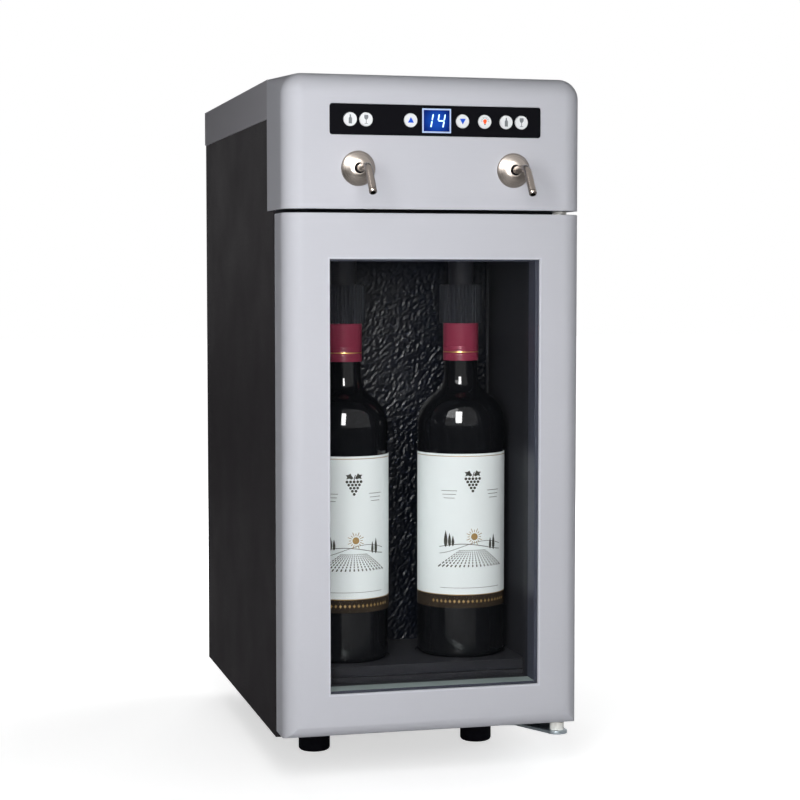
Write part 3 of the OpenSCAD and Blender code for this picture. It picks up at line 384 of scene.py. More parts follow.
# Extruded aluminium of the sink and the cold block: pale, with die lines along it.
ALUMINIUM = Finish("aluminium_extruded", "#b4b7ba", 0.34, metallic=1.0, texture=Texture.BRUSHED_Z,
                   pattern=0.5)
# Rigid polyurethane, foamed in place: dull straw yellow.
FOAM = Finish("polyurethane_foamed", "#cfc08f", 0.9, pattern=1.5, tone=0.12, relief=0.15)
# Stove-enamelled steel of the canister: blue-grey under a clear gloss.
CANISTER_PAINT = Finish("steel_enamelled_grey", "#7f888e", 0.32, pattern=0.5, tone=0.04, relief=0.005,
                        coat=0.2)
# Extruded polyurethane gas hose: a clean mid blue.
GAS_HOSE = Finish("polyurethane_hose_blue", "#3f66a4", 0.35, pattern=1.5, tone=0.06)

FINISH_OF_SLOT: dict[str, Finish] = {
    "silver_lacquer": SILVER_LACQUER, "grey_cover": GREY_LACQUER, "black_steel": POWDER_BLACK,
    "galvanised_steel": GALVANISED, "zinc_steel": ZINC_PLATE, "black_liner": BLACK_MOULDED, "foam": FOAM,
    "embossed_plate": EMBOSSED_BLACK, "black_rubber": RUBBER, "clear_glass": FLOAT_GLASS,
    "spacer_alloy": SPACER_PAINTED_LIT, "white_nylon": NYLON, "gloss_black": ACRYLIC_BLACK,
    "display_white": LIGHT_GUIDE, "display_blue": ACRYLIC_BLACK, "button_white": BUTTON_FILM,
    "board_green": CIRCUIT_BOARD, "satin_nickel": NICKEL_TUBE, "brass": BRASS, "ribbed_black": HEAD_PLASTIC,
    "silicone": SILICONE, "stainless": STAINLESS, "valve_grey": VALVE_PLASTIC, "bottle_glass": BOTTLE_GLASS,
    "burgundy_foil": CAPSULE_FOIL, "label_paper": LABEL_PAPER_PAINTED_GLOW, "lamp_diffuser": OPAL,
    "aluminium": ALUMINIUM, "fan_black": BLACK_MOULDED, "canister_paint": CANISTER_PAINT,
    "gas_blue": GAS_HOSE, "supply_case": GALVANISED}


# ---------------------------------------------------------------- making meshes


def mark_sharp(mesh: bpy.types.Mesh, degrees: float = 35.0) -> None:
    """Shades a mesh smooth, but for the edges that turn by more than an angle.

    Args:
        mesh: The mesh.
        degrees: The angle.
    """
    bm = bmesh.new()
    bm.from_mesh(mesh)
    for face in bm.faces:
        face.smooth = True
    for edge in bm.edges:
        edge.smooth = len(edge.link_faces) == 2 and edge.calc_face_angle(0.0) < math.radians(degrees)
    bm.to_mesh(mesh)
    bm.free()


def new_object(name: str, bm: bmesh.types.BMesh, sharp: float = 35.0) -> bpy.types.Object:
    """Turns a bmesh into an object of the scene.

    Args:
        name: The piece's name.
        bm: The shape, in metres. It is freed.
        sharp: The angle past which an edge stays sharp.

    Returns:
        The object.
    """
    mesh = bpy.data.meshes.new(name)
    bm.normal_update()
    bm.to_mesh(mesh)
    bm.free()
    mark_sharp(mesh, sharp)
    made = bpy.data.objects.new(name, mesh)
    bpy.context.scene.collection.objects.link(made)
    return made


def dress(piece: bpy.types.Object, finish: Finish) -> None:
    """Gives every material slot of a piece one finish.

    Args:
        piece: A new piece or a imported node.
        finish: The finish.
    """
    material = finish.material()
    if not piece.data.materials:
        piece.data.materials.append(material)
    for slot in piece.material_slots:
        slot.material = material


def fit(piece: bpy.types.Object, finish: Finish, like: str, replaces: Iterable[str] = ()) -> bpy.types.Object:
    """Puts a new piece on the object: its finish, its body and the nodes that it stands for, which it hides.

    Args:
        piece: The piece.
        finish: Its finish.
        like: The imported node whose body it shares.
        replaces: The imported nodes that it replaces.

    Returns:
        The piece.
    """
    dress(piece, finish)
    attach(piece, BODY_OF[like])
    replaced = tuple(replaces)
    if replaced:
        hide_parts(*replaced)
    LOG.info("%s rides on %s", piece.name, BODY_OF[like])
    return piece


def softened(node: str, finish: Finish, edge: float = 0.5, steps: int = 2) -> bpy.types.Object:
    """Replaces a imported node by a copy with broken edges, as moulded and folded parts have.

    Args:
        node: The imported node.
        finish: Its finish.
        edge: Width of the broken edge.
        steps: Segments across the broken edge.

    Returns:
        The new piece.
    """
    bm = bmesh.new()
    bm.from_mesh(frame["nodes"][node].data)
    bmesh.ops.remove_doubles(bm, verts=bm.verts, dist=1e-6)
    bmesh.ops.dissolve_limit(bm, angle_limit=math.radians(0.2), verts=bm.verts, edges=bm.edges)
    corners = [e for e in bm.edges if len(e.link_faces) == 2 and e.calc_face_angle(0.0) > math.radians(32)]
    bmesh.ops.bevel(bm, geom=corners, offset=edge * MM, segments=steps, profile=0.5, affect="EDGES",
                    clamp_overlap=True)
    piece = new_object(f"{node}_soft_edged", bm)
    weighted = piece.modifiers.new("Face weighting", "WEIGHTED_NORMAL")
    weighted.keep_sharp = True
    return fit(piece, finish, node, [node])


class Axis(Enum):
    """The axis of a turned piece: its outline rises upwards or forwards."""

    UP = "up"
    FORWARD = "forward"
    BACK = "back"


def turned(name: str, outline: Outline, centre: Vector, axis: Axis, segments: int = 96,
           closed: bool = True) -> bpy.types.Object:
    """Turns an outline about an axis.

    Args:
        name: The piece's name.
        outline: Pairs of radius and height along the axis.
        centre: The foot of the axis, in metres.
        axis: Its direction.
        segments: Steps round the axis.
        closed: Whether the outline's end joins its start.

    Returns:
        The object.
    """
    rise = {Axis.UP: Vector((0, 0, 1)), Axis.FORWARD: Vector((0, -1, 0)), Axis.BACK: Vector((0, 1, 0))}[axis]
    first = Vector((1, 0, 0))
    second = rise.cross(first)
    bm = bmesh.new()
    rings = []
    for radius, height in outline:
        if radius < 1e-6:
            rings.append([bm.verts.new(centre + rise * height * MM)])
            continue
        turns = [2 * math.pi * i / segments for i in range(segments)]
        rings.append([
            bm.verts.new(centre + (first * math.cos(a) + second * math.sin(a)) * radius * MM
                         + rise * height * MM) for a in turns])
    pairs = list(zip(rings, rings[1:] + rings[:1])) if closed else list(zip(rings, rings[1:]))
    for low, high in pairs:
        for i in range(segments):
            j = (i + 1) % segments
            corners = [low[i % len(low)], low[j % len(low)], high[j % len(high)], high[i % len(high)]]
            distinct = list(dict.fromkeys(corners))
            if len(distinct) > 2:
                bm.faces.new(distinct)
    bmesh.ops.recalc_face_normals(bm, faces=bm.faces)
    return new_object(name, bm)


def tube(name: str, path: list[Vector], radii: list[float], bore: float,
         segments: int = 40) -> bpy.types.Object:
    """Sweeps a round tube with a bore along a path that lies in one upright plane.

    Args:
        name: The piece's name.
        path: Points of the centre line, in metres.
        radii: The outer radius at each point.
        bore: The inner radius.
        segments: Steps round the tube.

    Returns:
        The object.
    """
    side = Vector((1, 0, 0))
    bm = bmesh.new()

    def ring(i: int, radius: float) -> list[bmesh.types.BMVert]:
        """Makes one ring of vertices square to the path at a point."""
        before, after = path[max(i - 1, 0)], path[min(i + 1, len(path) - 1)]
        along = (after - before).normalized()
        up = along.cross(side)
        return [bm.verts.new(path[i] + (side * math.cos(a) + up * math.sin(a)) * radius * MM)
                for a in (2 * math.pi * k / segments for k in range(segments))]

    outer = [ring(i, radius) for i, radius in enumerate(radii)]
    inner = [ring(i, bore) for i in range(len(path))]
    loops = outer + inner[::-1]
    for low, high in zip(loops, loops[1:] + loops[:1]):
        for i in range(segments):
            j = (i + 1) % segments
            bm.faces.new((low[i], low[j], high[j], high[i]))
    bmesh.ops.recalc_face_normals(bm, faces=bm.faces)
    return new_object(name, bm)


def solid_from_points(points: Iterable[Vector]) -> bmesh.types.BMesh:
    """Wraps points in their convex hull.

    Args:
        points: The points, in metres.

    Returns:
        The hull.
    """
    bm = bmesh.new()
    for point in points:
        bm.verts.new(point)
    made = bmesh.ops.convex_hull(bm, input=bm.verts)
    loose = [v for v in made["geom_interior"] + made["geom_unused"] if isinstance(v, bmesh.types.BMVert)]
    bmesh.ops.delete(bm, geom=list(set(loose)), context="VERTS")
    bmesh.ops.dissolve_limit(bm, angle_limit=math.radians(0.05), verts=bm.verts, edges=bm.edges)
    return bm


def cut(piece: bpy.types.Object, cutter: bpy.types.Object) -> None:
    """Cuts one object out of another and removes the cutter.

    Args:
        piece: The piece that stays.
        cutter: The shape to take away.
    """
    step = piece.modifiers.new("Cut", "BOOLEAN")
    step.operation = "DIFFERENCE"
    step.solver = "EXACT"
    step.object = cutter
    evaluated = piece.evaluated_get(bpy.context.evaluated_depsgraph_get())
    mesh = bpy.data.meshes.new_from_object(evaluated)
    piece.modifiers.remove(step)
    piece.data = mesh
    bpy.data.objects.remove(cutter)


def block(low: Vector, high: Vector) -> bmesh.types.BMesh:
    """Makes a box between two corners, in metres.

    Args:
        low: The lowest corner.
        high: The highest corner.

    Returns:
        The box.
    """
    bm = bmesh.new()
    sides = Matrix.Diagonal((*(high - low), 1))
    bmesh.ops.create_cube(bm, size=1.0, matrix=Matrix.Translation((low + high) / 2) @ sides)
    return bm


@dataclass
class Stencil:
    """Flat printed shapes, drawn as outlines in millimetres: u to the right and v up."""

    outlines: list[Outline] = field(default_factory=list)

    def add(self, outline: Outline) -> None:
        """Adds one closed outline."""
        self.outlines.append(outline)

    def bar(self, start: tuple[float, float], end: tuple[float, float], width: float,
            slant: float = 0.0) -> None:
        """Adds a straight bar with pointed ends, as a display segment has.

        Args:
            start: One end.
            end: The other end.
            width: Width of the bar.
            slant: Shift to the right for each step up.
        """
        (u0, v0), (u1, v1) = start, end
        length = math.hypot(u1 - u0, v1 - v0)
        du, dv = (u1 - u0) / length, (v1 - v0) / length
        half = width / 2
        local = [(0, 0), (half, half), (length - half, half), (length, 0), (length - half, -half),
                 (half, -half)]
        points = [(u0 + a * du - b * dv, v0 + a * dv + b * du) for a, b in local]
        self.add([(u + v * slant, v) for u, v in points])

    def disc(self, centre: tuple[float, float], radius: float, steps: int = 32) -> None:
        """Adds a round spot."""
        self.add([(centre[0] + radius * math.cos(2 * math.pi * i / steps),
                   centre[1] + radius * math.sin(2 * math.pi * i / steps)) for i in range(steps)])

    def stroke(self, points: Outline, width: float) -> None:
        """Adds a line through points, as one four-sided piece between each two.

        Args:
            points: The points that it passes.
            width: Its width.
        """
        for (u0, v0), (u1, v1) in zip(points, points[1:]):
            length = math.hypot(u1 - u0, v1 - v0)
            du, dv = -(v1 - v0) / length * width / 2, (u1 - u0) / length * width / 2
            self.add([(u0 + du, v0 + dv), (u0 - du, v0 - dv), (u1 - du, v1 - dv), (u1 + du, v1 + dv)])

    def rectangle(self, u0: float, v0: float, u1: float, v1: float) -> None:
        """Adds an upright rectangle between two corners."""
        self.add([(u0, v0), (u1, v0), (u1, v1), (u0, v1)])

    def build(self, name: str, place: Callable[[float, float, float], Vector], thickness: float,
              step: float = 0.0) -> bpy.types.Object:
        """Makes the shapes as thin solids on a surface.

        Args:
            name: The piece's name.
            place: Gives the point in metres for u, v and a height above the surface.
            thickness: Thickness of the print.
            step: Widest face along u, so that a print on a round surface bends with it.

        Returns:
            The object.
        """
        bm = bmesh.new()
        for outline in self.outlines:
            bm.faces.new([bm.verts.new((u, v, 0)) for u, v in outline])
        if step:
            low = min(u for outline in self.outlines for u, _ in outline)
            high = max(u for outline in self.outlines for u, _ in outline)
            for i in range(1, math.ceil((high - low) / step)):
                bmesh.ops.bisect_plane(bm, geom=bm.verts[:] + bm.edges[:] + bm.faces[:],
                                       plane_co=(low + i * step, 0, 0), plane_no=(1, 0, 0))
        top = bmesh.ops.extrude_face_region(bm, geom=bm.faces[:])
        for vert in (v for v in top["geom"] if isinstance(v, bmesh.types.BMVert)):
            vert.co.z = thickness
        for vert in bm.verts:
            vert.co = place(*vert.co)
        bmesh.ops.recalc_face_normals(bm, faces=bm.faces)
        return new_object(name, bm)


# ---------------------------------------------------------------- camera and studio


class Reach(Enum):
    """What a light acts on: it lights matt surfaces, or it is only mirrored in glossy ones."""

    MATT = "matt surfaces"
    GLOSS = "glossy surfaces"


@dataclass(frozen=True)
class Softbox:
    """One rectangular light that the camera doesn't see: its size is in metres and its power in watts."""

    name: str
    place: Point
    target: Point
    size: tuple[float, float]
    power: float
    reach: Reach

    def hang(self) -> None:
        """Hangs the light at its place, facing its target."""
        data = bpy.data.lights.new(self.name, "AREA")
        data.shape = "RECTANGLE"
        data.size, data.size_y = self.size
        data.energy = self.power
        light = bpy.data.objects.new(self.name, data)
        light.location = at(*self.place)
        light.rotation_euler = (at(*self.target) - at(*self.place)).to_track_quat("-Z", "Y").to_euler()
        light.visible_camera = False
        light.visible_glossy = self.reach is Reach.GLOSS
        light.visible_diffuse = self.reach is Reach.MATT
        bpy.context.scene.collection.objects.link(light)


# The key stands close on the left, so that the front darkens to the right. The sheen box draws the short
# highlights on the shoulders of the bottles, and the panel the bright side of the domes.
SOFTBOXES = (
    Softbox("key_softbox", (-240, -640, 520), (-130, 0, 360), (0.35, 0.7), 3.9, Reach.MATT),
    Softbox("front_softbox", (-330, -1700, 320), (0, 0, 300), (0.5, 0.5), 4.1, Reach.MATT),
    Softbox("side_softbox", (-900, -1500, 500), (0, 0, 300), (0.3, 0.6), 5.0, Reach.MATT),
    Softbox("sheen_box", (-430, -1150, 910), (0, 60, 300), (0.42, 1.0), 75.0, Reach.GLOSS),
    Softbox("left_panel", (-840, -660, 1250), (0, 0, 500), (0.9, 0.9), 19.0, Reach.GLOSS),
    Softbox("right_softbox", (1300, 900, 900), (0, 180, 300), (1.2, 1.2), 9.0, Reach.MATT),
    Softbox("back_softbox", (100, 1900, 1000), (0, 180, 300), (1.0, 1.2), 14.0, Reach.MATT))


@dataclass
class Studio:
    """The camera at the photograph's place, the pale floor and the soft lights."""

    camera_place: Point = (-429.2, -1539.5, 417.6)
    camera_yaw: float = 14.506
    camera_pitch: float = 3.54
    camera_lens: float = 87.35
    sensor_width: float = 36.0
    ambient: float = 0.05
    floor_size: float = 12.0
    floor_near: float = 0.25
    floor_far: float = 0.9
    floor_lift: float = 0.6
    floor_white: float = 1.1

    def set_camera(self) -> None:
        """Puts the camera where the photograph was taken from."""
        data = bpy.data.cameras.new("photo_camera")
        data.sensor_width = self.sensor_width
        data.lens = self.camera_lens
        camera = bpy.data.objects.new("photo_camera", data)
        camera.location = at(*self.camera_place)
        camera.rotation_euler = (math.radians(90 - self.camera_pitch), 0, -math.radians(self.camera_yaw))
        bpy.context.scene.collection.objects.link(camera)
        bpy.context.scene.camera = camera

    def set_world(self) -> None:
        """Lights the object evenly, and shows white to the camera, in metal and through glass."""
        world = bpy.data.worlds.new("studio_white")
        bpy.context.scene.world = world
        world.use_nodes = True
        tree = world.node_tree
        tree.nodes.clear()
        rays = add_node(tree, "ShaderNodeLightPath")
        seen = rays.outputs["Is Camera Ray"]
        for ray in ("Is Glossy Ray", "Is Transmission Ray"):
            seen = add_node(tree, "ShaderNodeMath", {"operation": "MAXIMUM"}, {
                0: seen, 1: rays.outputs[ray]}).outputs[0]
        strength = add_node(tree, "ShaderNodeMix", {"data_type": "FLOAT"}, {
            0: seen, 2: self.ambient, 3: 1.0}).outputs[0]
        light = add_node(tree, "ShaderNodeBackground", {}, {"Color": (1, 1, 1, 1), "Strength": strength})
        add_node(tree, "ShaderNodeOutputWorld", {}, {"Surface": light.outputs[0]})
        bpy.context.scene.view_settings.view_transform = "Standard"

    def lay_floor(self) -> None:
        """Lays the pale floor, which keeps the object's shadow and fades into the white."""
        bm = bmesh.new()
        bmesh.ops.create_grid(bm, x_segments=1, y_segments=1, size=self.floor_size)
        floor = new_object("floor", bm)
        material = new_material("floor_paper_white")
        tree = material.node_tree
        rays = add_node(tree, "ShaderNodeLightPath")
        away = add_node(tree, "ShaderNodeVectorMath", {"operation": "LENGTH"}, {
            0: object_point(tree)})
        fade = add_node(tree, "ShaderNodeMapRange", {"interpolation_type": "SMOOTHSTEP"}, {
            "Value": away.outputs["Value"], "From Min": self.floor_near, "From Max": self.floor_far,
            "To Min": self.floor_lift, "To Max": self.floor_white})
        lift = add_node(tree, "ShaderNodeMath", {"operation": "MULTIPLY"}, {
            0: rays.outputs["Is Camera Ray"], 1: fade.outputs[0]})
        end_tree(tree, {
            "Base Color": (0.86, 0.86, 0.86, 1), "Roughness": 0.9, "Specular IOR Level": 0.0,
            "Emission Color": (1, 1, 1, 1), "Emission Strength": lift.outputs[0]})
        floor.data.materials.append(material)

    def build(self) -> None:
        """Sets up the world, the lights and the floor."""
        self.set_world()
        for light in SOFTBOXES:
            light.hang()
        self.lay_floor()


# ---------------------------------------------------------------- sub-assemblies


@dataclass
class Cabinet:
    """The sheet-metal cabinet with its covers, feet and back."""

    sheet: float = 1.5
    screw_radius: float = 3.4
    screw_height: float = 1.3
    slot_width: float = 0.9
    slot_reach: float = 0.62
    slot_depth: float = 0.7
    screw_from_side: float = 8.0
    screw_from_end: float = 10.0
    screw_above_middle: float = 40.0

    def screw(self, name: str, place: Point, like: str) -> None:
        """Makes one domed screw head with a cross recess, facing back.

        Args:
            name: The piece's name.
            place: The seat of the head.
            like: The node that it is screwed to.
        """
        r, h = self.screw_radius, self.screw_height
        dome = [(0, h)] + [(r * math.sin(math.radians(a)), h * math.cos(math.radians(a)) ** 0.6)
                           for a in (15, 30, 45, 60, 75)] + [(r, 0), (0, 0)]
        head = turned(name, dome, at(*place), Axis.BACK, 32, closed=False)
        x, y, z = place
        long, narrow = r * self.slot_reach, self.slot_width / 2
        for across, up in ((long, narrow), (narrow, long)):
            bm = block(at(x - across, y + h - self.slot_depth, z - up), at(x + across, y + h + 1, z + up))
            cut(head, new_object("recess", bm))
        mark_sharp(head.data)
        fit(head, ZINC_PLATE, like)

    def build(self) -> None:
        """Makes the cabinet's outer pieces."""
        for node in ("left_side_panel", "right_side_panel", "base_plate", "rear_cover", "rear_hatch"):
            softened(node, POWDER_BLACK, 0.4)
        softened("top_cover", GREY_LACQUER, 0.7)
        softened("feet", RUBBER, 0.4)
        cover = Extent.of("rear_cover")
        heights = (cover.low.z + self.screw_from_end, cover.middle.z + self.screw_above_middle,
                   cover.high.z - self.screw_from_end)
        for side, turn in (("left", -1), ("right", 1)):
            for i, z in enumerate(heights):
                # The lower left corner goes without a screw, as the hatch's hinge lies there.
                if side == "right" or i:
                    place = (turn * (cover.high.x - self.screw_from_side), cover.low.y + self.sheet, z)
                    self.screw(f"rear_screw_{side}_{i}", place, "rear_cover")


@dataclass
class Hood:
    """The lacquered control hood: a shell whose front corners are balls that fade out along the top sides."""

    front_radius: float = 17.0
    rear_radius: float = 1.6
    shell: float = 2.4
    ball_step: int = 5
    overrun: float = 5.0
    strip_margin: float = 0.3
    window_corner: float = 2.2
    shank_hole: float = 5.3

    def ball(self, centre: Vector, radius: float) -> list[Vector]:
        """Gives the points of a ball."""
        turns = [math.radians(a) for a in range(0, 360, self.ball_step)]
        rises = [math.radians(a) for a in range(-90, 91, self.ball_step)]
        rays = [Vector((math.cos(b) * math.cos(a), math.cos(b) * math.sin(a), math.sin(b)))
                for a in turns for b in rises]
        return [centre + ray * radius * MM for ray in rays]

    def disc(self, centre: Vector, radius: float) -> list[Vector]:
        """Gives the points of a level disc's edge."""
        turns = [math.radians(a) for a in range(0, 360, self.ball_step)]
        return [centre + Vector((math.cos(a), math.sin(a), 0)) * radius * MM for a in turns]

    def form(self, extent: Extent, inset: float) -> bmesh.types.BMesh:
        """Makes the hood's outer form, or its inner one.

        Args:
            extent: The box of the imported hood.
            inset: Distance in from the outer face.

        Returns:
            The form.
        """
        low, high = extent.low, extent.high
        front, rear = self.front_radius - inset, max(self.rear_radius - inset, 0.4)
        overrun = self.overrun if inset else 0
        bottom = low.z - overrun
        back = high.y + overrun
        points: list[Vector] = []
        for side in (-1, 1):
            x = side * (high.x - self.front_radius)
            points += self.ball(at(x, self.front_radius, high.z - self.front_radius), front)
            points += self.disc(at(x, self.front_radius, bottom), front)
            edge = side * (high.x - inset)
            points += self.disc(at(edge - side * rear, back - rear, high.z - inset - rear), rear)
            points += [at(edge - side * rear, back, high.z - inset), at(edge, back, high.z - inset - rear),
                       at(edge, back, bottom)]
        return solid_from_points(points)

    def build(self) -> None:
        """Makes the hood, with the openings for the strip and the spouts."""
        extent = Extent.of("control_hood")
        hood = new_object("control_hood_shell", self.form(extent, 0.0))
        cut(hood, new_object("hood_inside", self.form(extent, self.shell)))
        strip = Extent.of("control_strip")
        m = self.strip_margin
        window = block(at(strip.low.x - m, -5, strip.low.z - m), at(strip.high.x + m, 6, strip.high.z + m))
        upright = [e for e in window.edges if abs((e.verts[0].co - e.verts[1].co).normalized().y) > 0.9]
        bmesh.ops.bevel(window, geom=upright, offset=self.window_corner * MM, segments=5, profile=0.5,
                        affect="EDGES")
        cut(hood, new_object("strip_window", window))
        for dome in ("left_spout", "right_spout"):
            box = Extent.of(dome)
            x, z = box.middle.x, box.high.z - self.shank_radius(box)
            hole = turned("shank_hole", [(0, 0), (self.shank_hole, 0), (self.shank_hole, 20), (0, 20)],
                          at(x, -8, z), Axis.BACK, 48, closed=False)
            cut(hood, hole)
        mark_sharp(hood.data, 24)
        weighted = hood.modifiers.new("Face weighting", "WEIGHTED_NORMAL")
        weighted.keep_sharp = True
        fit(hood, SILVER_LACQUER, "control_hood", ["control_hood"])

    @staticmethod
    def shank_radius(box: Extent) -> float:
        """The spout's shank is its widest and highest part, so half its width is the radius."""
        return box.size.x / 2


@dataclass
class ControlStrip:
    """The gloss strip with its buttons, their signs and the lit display."""

    sign_depth: float = 0.08
    digit_height: float = 10.8
    digit_width: float = 5.4
    digit_gap: float = 0.25
    one_place: float = -3.9
    four_place: float = 4.5
    segment: float = 1.05
    slant: float = 0.19
    glow_inner: float = 3.0
    glow_outer: float = 14.0

    def face(self, node: str) -> Callable[[float, float, float], Vector]:
        """Gives the mapping from a sign's plane to the front face of a node.

        Args:
            node: The node that carries the sign.

        Returns:
            A function of u, v and height.
        """
        box = Extent.of(node)

        def place(u: float, v: float, height: float) -> Vector:
            """Puts a point of the sign on the front face."""
            return at(box.middle.x + u, box.low.y - height, box.middle.z + v)

        return place

    def bottle_sign(self) -> Stencil:
        """Draws a plain bottle."""
        sign = Stencil()
        right = [(1.35, -3.6), (1.35, 0.4), (1.05, 1.2), (0.55, 1.8), (0.5, 3.6)]
        sign.add(right + [(-u, v) for u, v in reversed(right)])
        return sign

    def glass_sign(self) -> Stencil:
        """Draws a plain stemmed glass."""
        sign = Stencil()
        bowl = [(0.25, -0.4), (1.0, 0.1), (1.6, 1.1), (1.75, 2.2), (1.55, 3.5)]
        sign.add(bowl + [(-u, v) for u, v in reversed(bowl)])
        sign.rectangle(-0.25, -3.2, 0.25, -0.4)
        sign.rectangle(-1.4, -3.6, 1.4, -3.2)
        return sign

    def arrow_sign(self, up: bool) -> Stencil:
        """Draws a triangle that points up or down."""
        sign = Stencil()
        turn = 1 if up else -1
        sign.add([(-2.5, -2.0 * turn), (2.5, -2.0 * turn), (0, 2.6 * turn)][::turn])
        return sign

    def bulb_signs(self) -> tuple[Stencil, Stencil]:
        """Draws a lamp bulb and, apart, its cap with the rays."""
        bulb, rest = Stencil(), Stencil()
        bulb.disc((0, 0.5), 1.55)
        bulb.add([(-0.8, -1.7), (0.8, -1.7), (1.2, -0.4), (-1.2, -0.4)])
        rest.rectangle(-0.7, -2.7, 0.7, -1.9)
        for degrees in range(0, 181, 30):
            a = math.radians(degrees)
            near, far = [(r * math.cos(a), 0.5 + r * math.sin(a)) for r in (2.3, 3.5)]
            rest.bar(near, far, 0.4)
        return bulb, rest

    def digits(self) -> Stencil:
        """Draws a 1 and a 4 from slanted segments."""
        h, w, gap = self.digit_height / 2, self.digit_width, self.digit_gap
        one, four = self.one_place, self.four_place
        left, right = four - w / 2 - 0.6, four + w / 2 - 0.9
        lit = Stencil()
        for start, end in (((one, gap), (one, h)), ((one, -h), (one, -gap)),
                           ((right, gap), (right, h)), ((right, -h), (right, -gap)),
                           ((left, gap), (left, h)), ((left + gap, 0), (right - gap, 0))):
            lit.bar(start, end, self.segment, self.slant)
        return lit

    def screen_material(self) -> bpy.types.Material:
        """Makes the back-lit screen: a deep blue that glows in the middle.

        Returns:
            The material.
        """
        box = Extent.of("display_frame")
        centre = at(box.middle.x, box.low.y, box.middle.z)
        made = new_material("liquid_crystal_backlit_blue")
        tree = made.node_tree
        away = add_node(tree, "ShaderNodeVectorMath", {"operation": "DISTANCE"}, {
            0: object_point(tree), 1: centre})
        level = add_node(tree, "ShaderNodeMapRange", {"interpolation_type": "SMOOTHSTEP"}, {
            "Value": away.outputs["Value"], "From Min": self.glow_inner * MM,
            "From Max": self.glow_outer * MM})
        blue = add_node(tree, "ShaderNodeMix", {"data_type": "RGBA"}, {
            0: level.outputs[0], 6: linear("#1a52c2"), 7: linear("#08206e")})
        end_tree(tree, {
            "Base Color": linear("#050a20"), "Roughness": 0.15, "Specular IOR Level": 0.02,
            "Emission Color": blue.outputs[2], "Emission Strength": 0.85})
        return made

    def sign(self, name: str, stencil: Stencil, finish: Finish, node: str) -> None:
        """Prints one sign on the face of a node."""
        fit(stencil.build(name, self.face(node), self.sign_depth), finish, node)

    def build(self) -> None:
        """Makes the strip, the buttons with their signs, and the display."""
        softened("control_strip", ACRYLIC_BLACK, 0.25)
        softened("display_frame", LIGHT_GUIDE, 0.2)
        screen = frame["nodes"]["display_screen"]
        for slot in screen.material_slots:
            slot.material = self.screen_material()
        bottle, glass = (self.bottle_sign(), INK_GREY), (self.glass_sign(), INK_GREY)
        bulb, rays = self.bulb_signs()
        signs = {
            "left_bottle_button": [bottle], "left_glass_button": [glass],
            "up_button": [(self.arrow_sign(True), INK_BLUE)],
            "down_button": [(self.arrow_sign(False), INK_BLUE)],
            "lamp_button": [(bulb, INK_ORANGE), (rays, INK_GREY)],
            "right_bottle_button": [bottle], "right_glass_button": [glass]}
        for node, prints in signs.items():
            softened(node, BUTTON_FILM, 0.3)
            for i, (stencil, ink) in enumerate(prints):
                self.sign(f"{node}_sign_{i}", stencil, ink, node)
        self.sign("display_digits", self.digits(), LIT_SEGMENT, "display_screen")


@dataclass
class Spouts:
    """The two satin nickel spouts in their turned domes."""

    tube_radius: float = 3.2
    bore: float = 2.0
    reach: float = 30.0
    bend_radius: float = 12.0
    bend_angle: float = 54.0
    bend_steps: int = 14
    drop: float = 21.0
    shank: float = 5.0
    dome_radius: float = 14.3
    dome_height: float = 7.0
    lip: float = 5.3
    swell: float = 1.55
    hole: float = 4.25

    def centre_line(self, x: float, z: float) -> tuple[list[Vector], list[float]]:
        """Traces the spout's centre line from inside the dome to the tip.

        Args:
            x: The spout's place across.
            z: Its height.

        Returns:
            The points and the outer radius at each.
        """
        path = [at(x, y, z) for y in (-3.5, -5, -12, -20, -self.reach)]
        for i in range(1, self.bend_steps + 1):
            a = math.radians(self.bend_angle * i / self.bend_steps)
            forward, down = math.sin(a), 1 - math.cos(a)
            path.append(at(x, -self.reach - self.bend_radius * forward, z - self.bend_radius * down))
        end = math.radians(self.bend_angle)
        start = path[-1]
        along = Vector((0, -math.cos(end), -math.sin(end)))
        radii = [self.tube_radius] * len(path)
        # The tip has a fine groove and a rounded end: each distance back from it with the change of radius.
        tip = ((4.2, 0), (3.3, 0), (3.1, -0.45), (2.7, -0.45), (2.5, 0), (0.9, 0), (0.3, -0.35), (0, -0.8))
        for distance, change in ((6, 0), (12, 0), *((self.drop - back, step) for back, step in tip)):
            path.append(start + along * distance * MM)
            radii.append(self.tube_radius + change)
        return path, radii

    def dome_outline(self) -> Outline:
        """Gives the outline of the dome: a rim bead, a swelling cone and a rolled lip."""
        r, h = self.dome_radius, self.dome_height
        cone = []
        for i in range(1, 15):
            t = i / 15
            cone.append((r - 0.5 - (r - 0.5 - self.lip) * t, 1.5 + (h - 1.7) * (1 - (1 - t) ** self.swell)))
        return ([(self.hole + 0.9, 0.1), (r - 0.6, 0.0), (r - 0.1, 0.25), (r, 0.7), (r - 0.15, 1.15)] + cone
                + [(5.2, h - 0.12), (4.8, h), (4.45, h - 0.1), (self.hole, h - 0.6), (self.hole, h - 2.4),
                   (self.hole + 0.9, h - 2.6)])

    def build(self) -> None:
        """Makes the spouts and their domes."""
        for node in ("left_spout", "right_spout"):
            box = Extent.of(node)
            x, z = box.middle.x, box.high.z - self.shank
            path, radii = self.centre_line(x, z)
            fit(tube(f"{node}_tube", path, radii, self.bore), NICKEL_TUBE, node, [node])
            wall = [(self.bore, 0), (self.shank, 0), (self.shank, 18), (2.6, 18), (2.6, 31), (self.bore, 31)]
            fit(turned(f"{node}_shank", wall, at(x, -4, z), Axis.BACK, 48), NICKEL_TUBE, node)
            side = "left" if x < 0 else "right"
            turning = replace(NICKEL_TURNED, turned_axis=(abs(x), z))
            dome = turned(f"{side}_dome", self.dome_outline(), at(x, 0, z), Axis.FORWARD, 128)
            fit(dome, turning, "spout_domes", ["spout_domes"] if side == "left" else [])


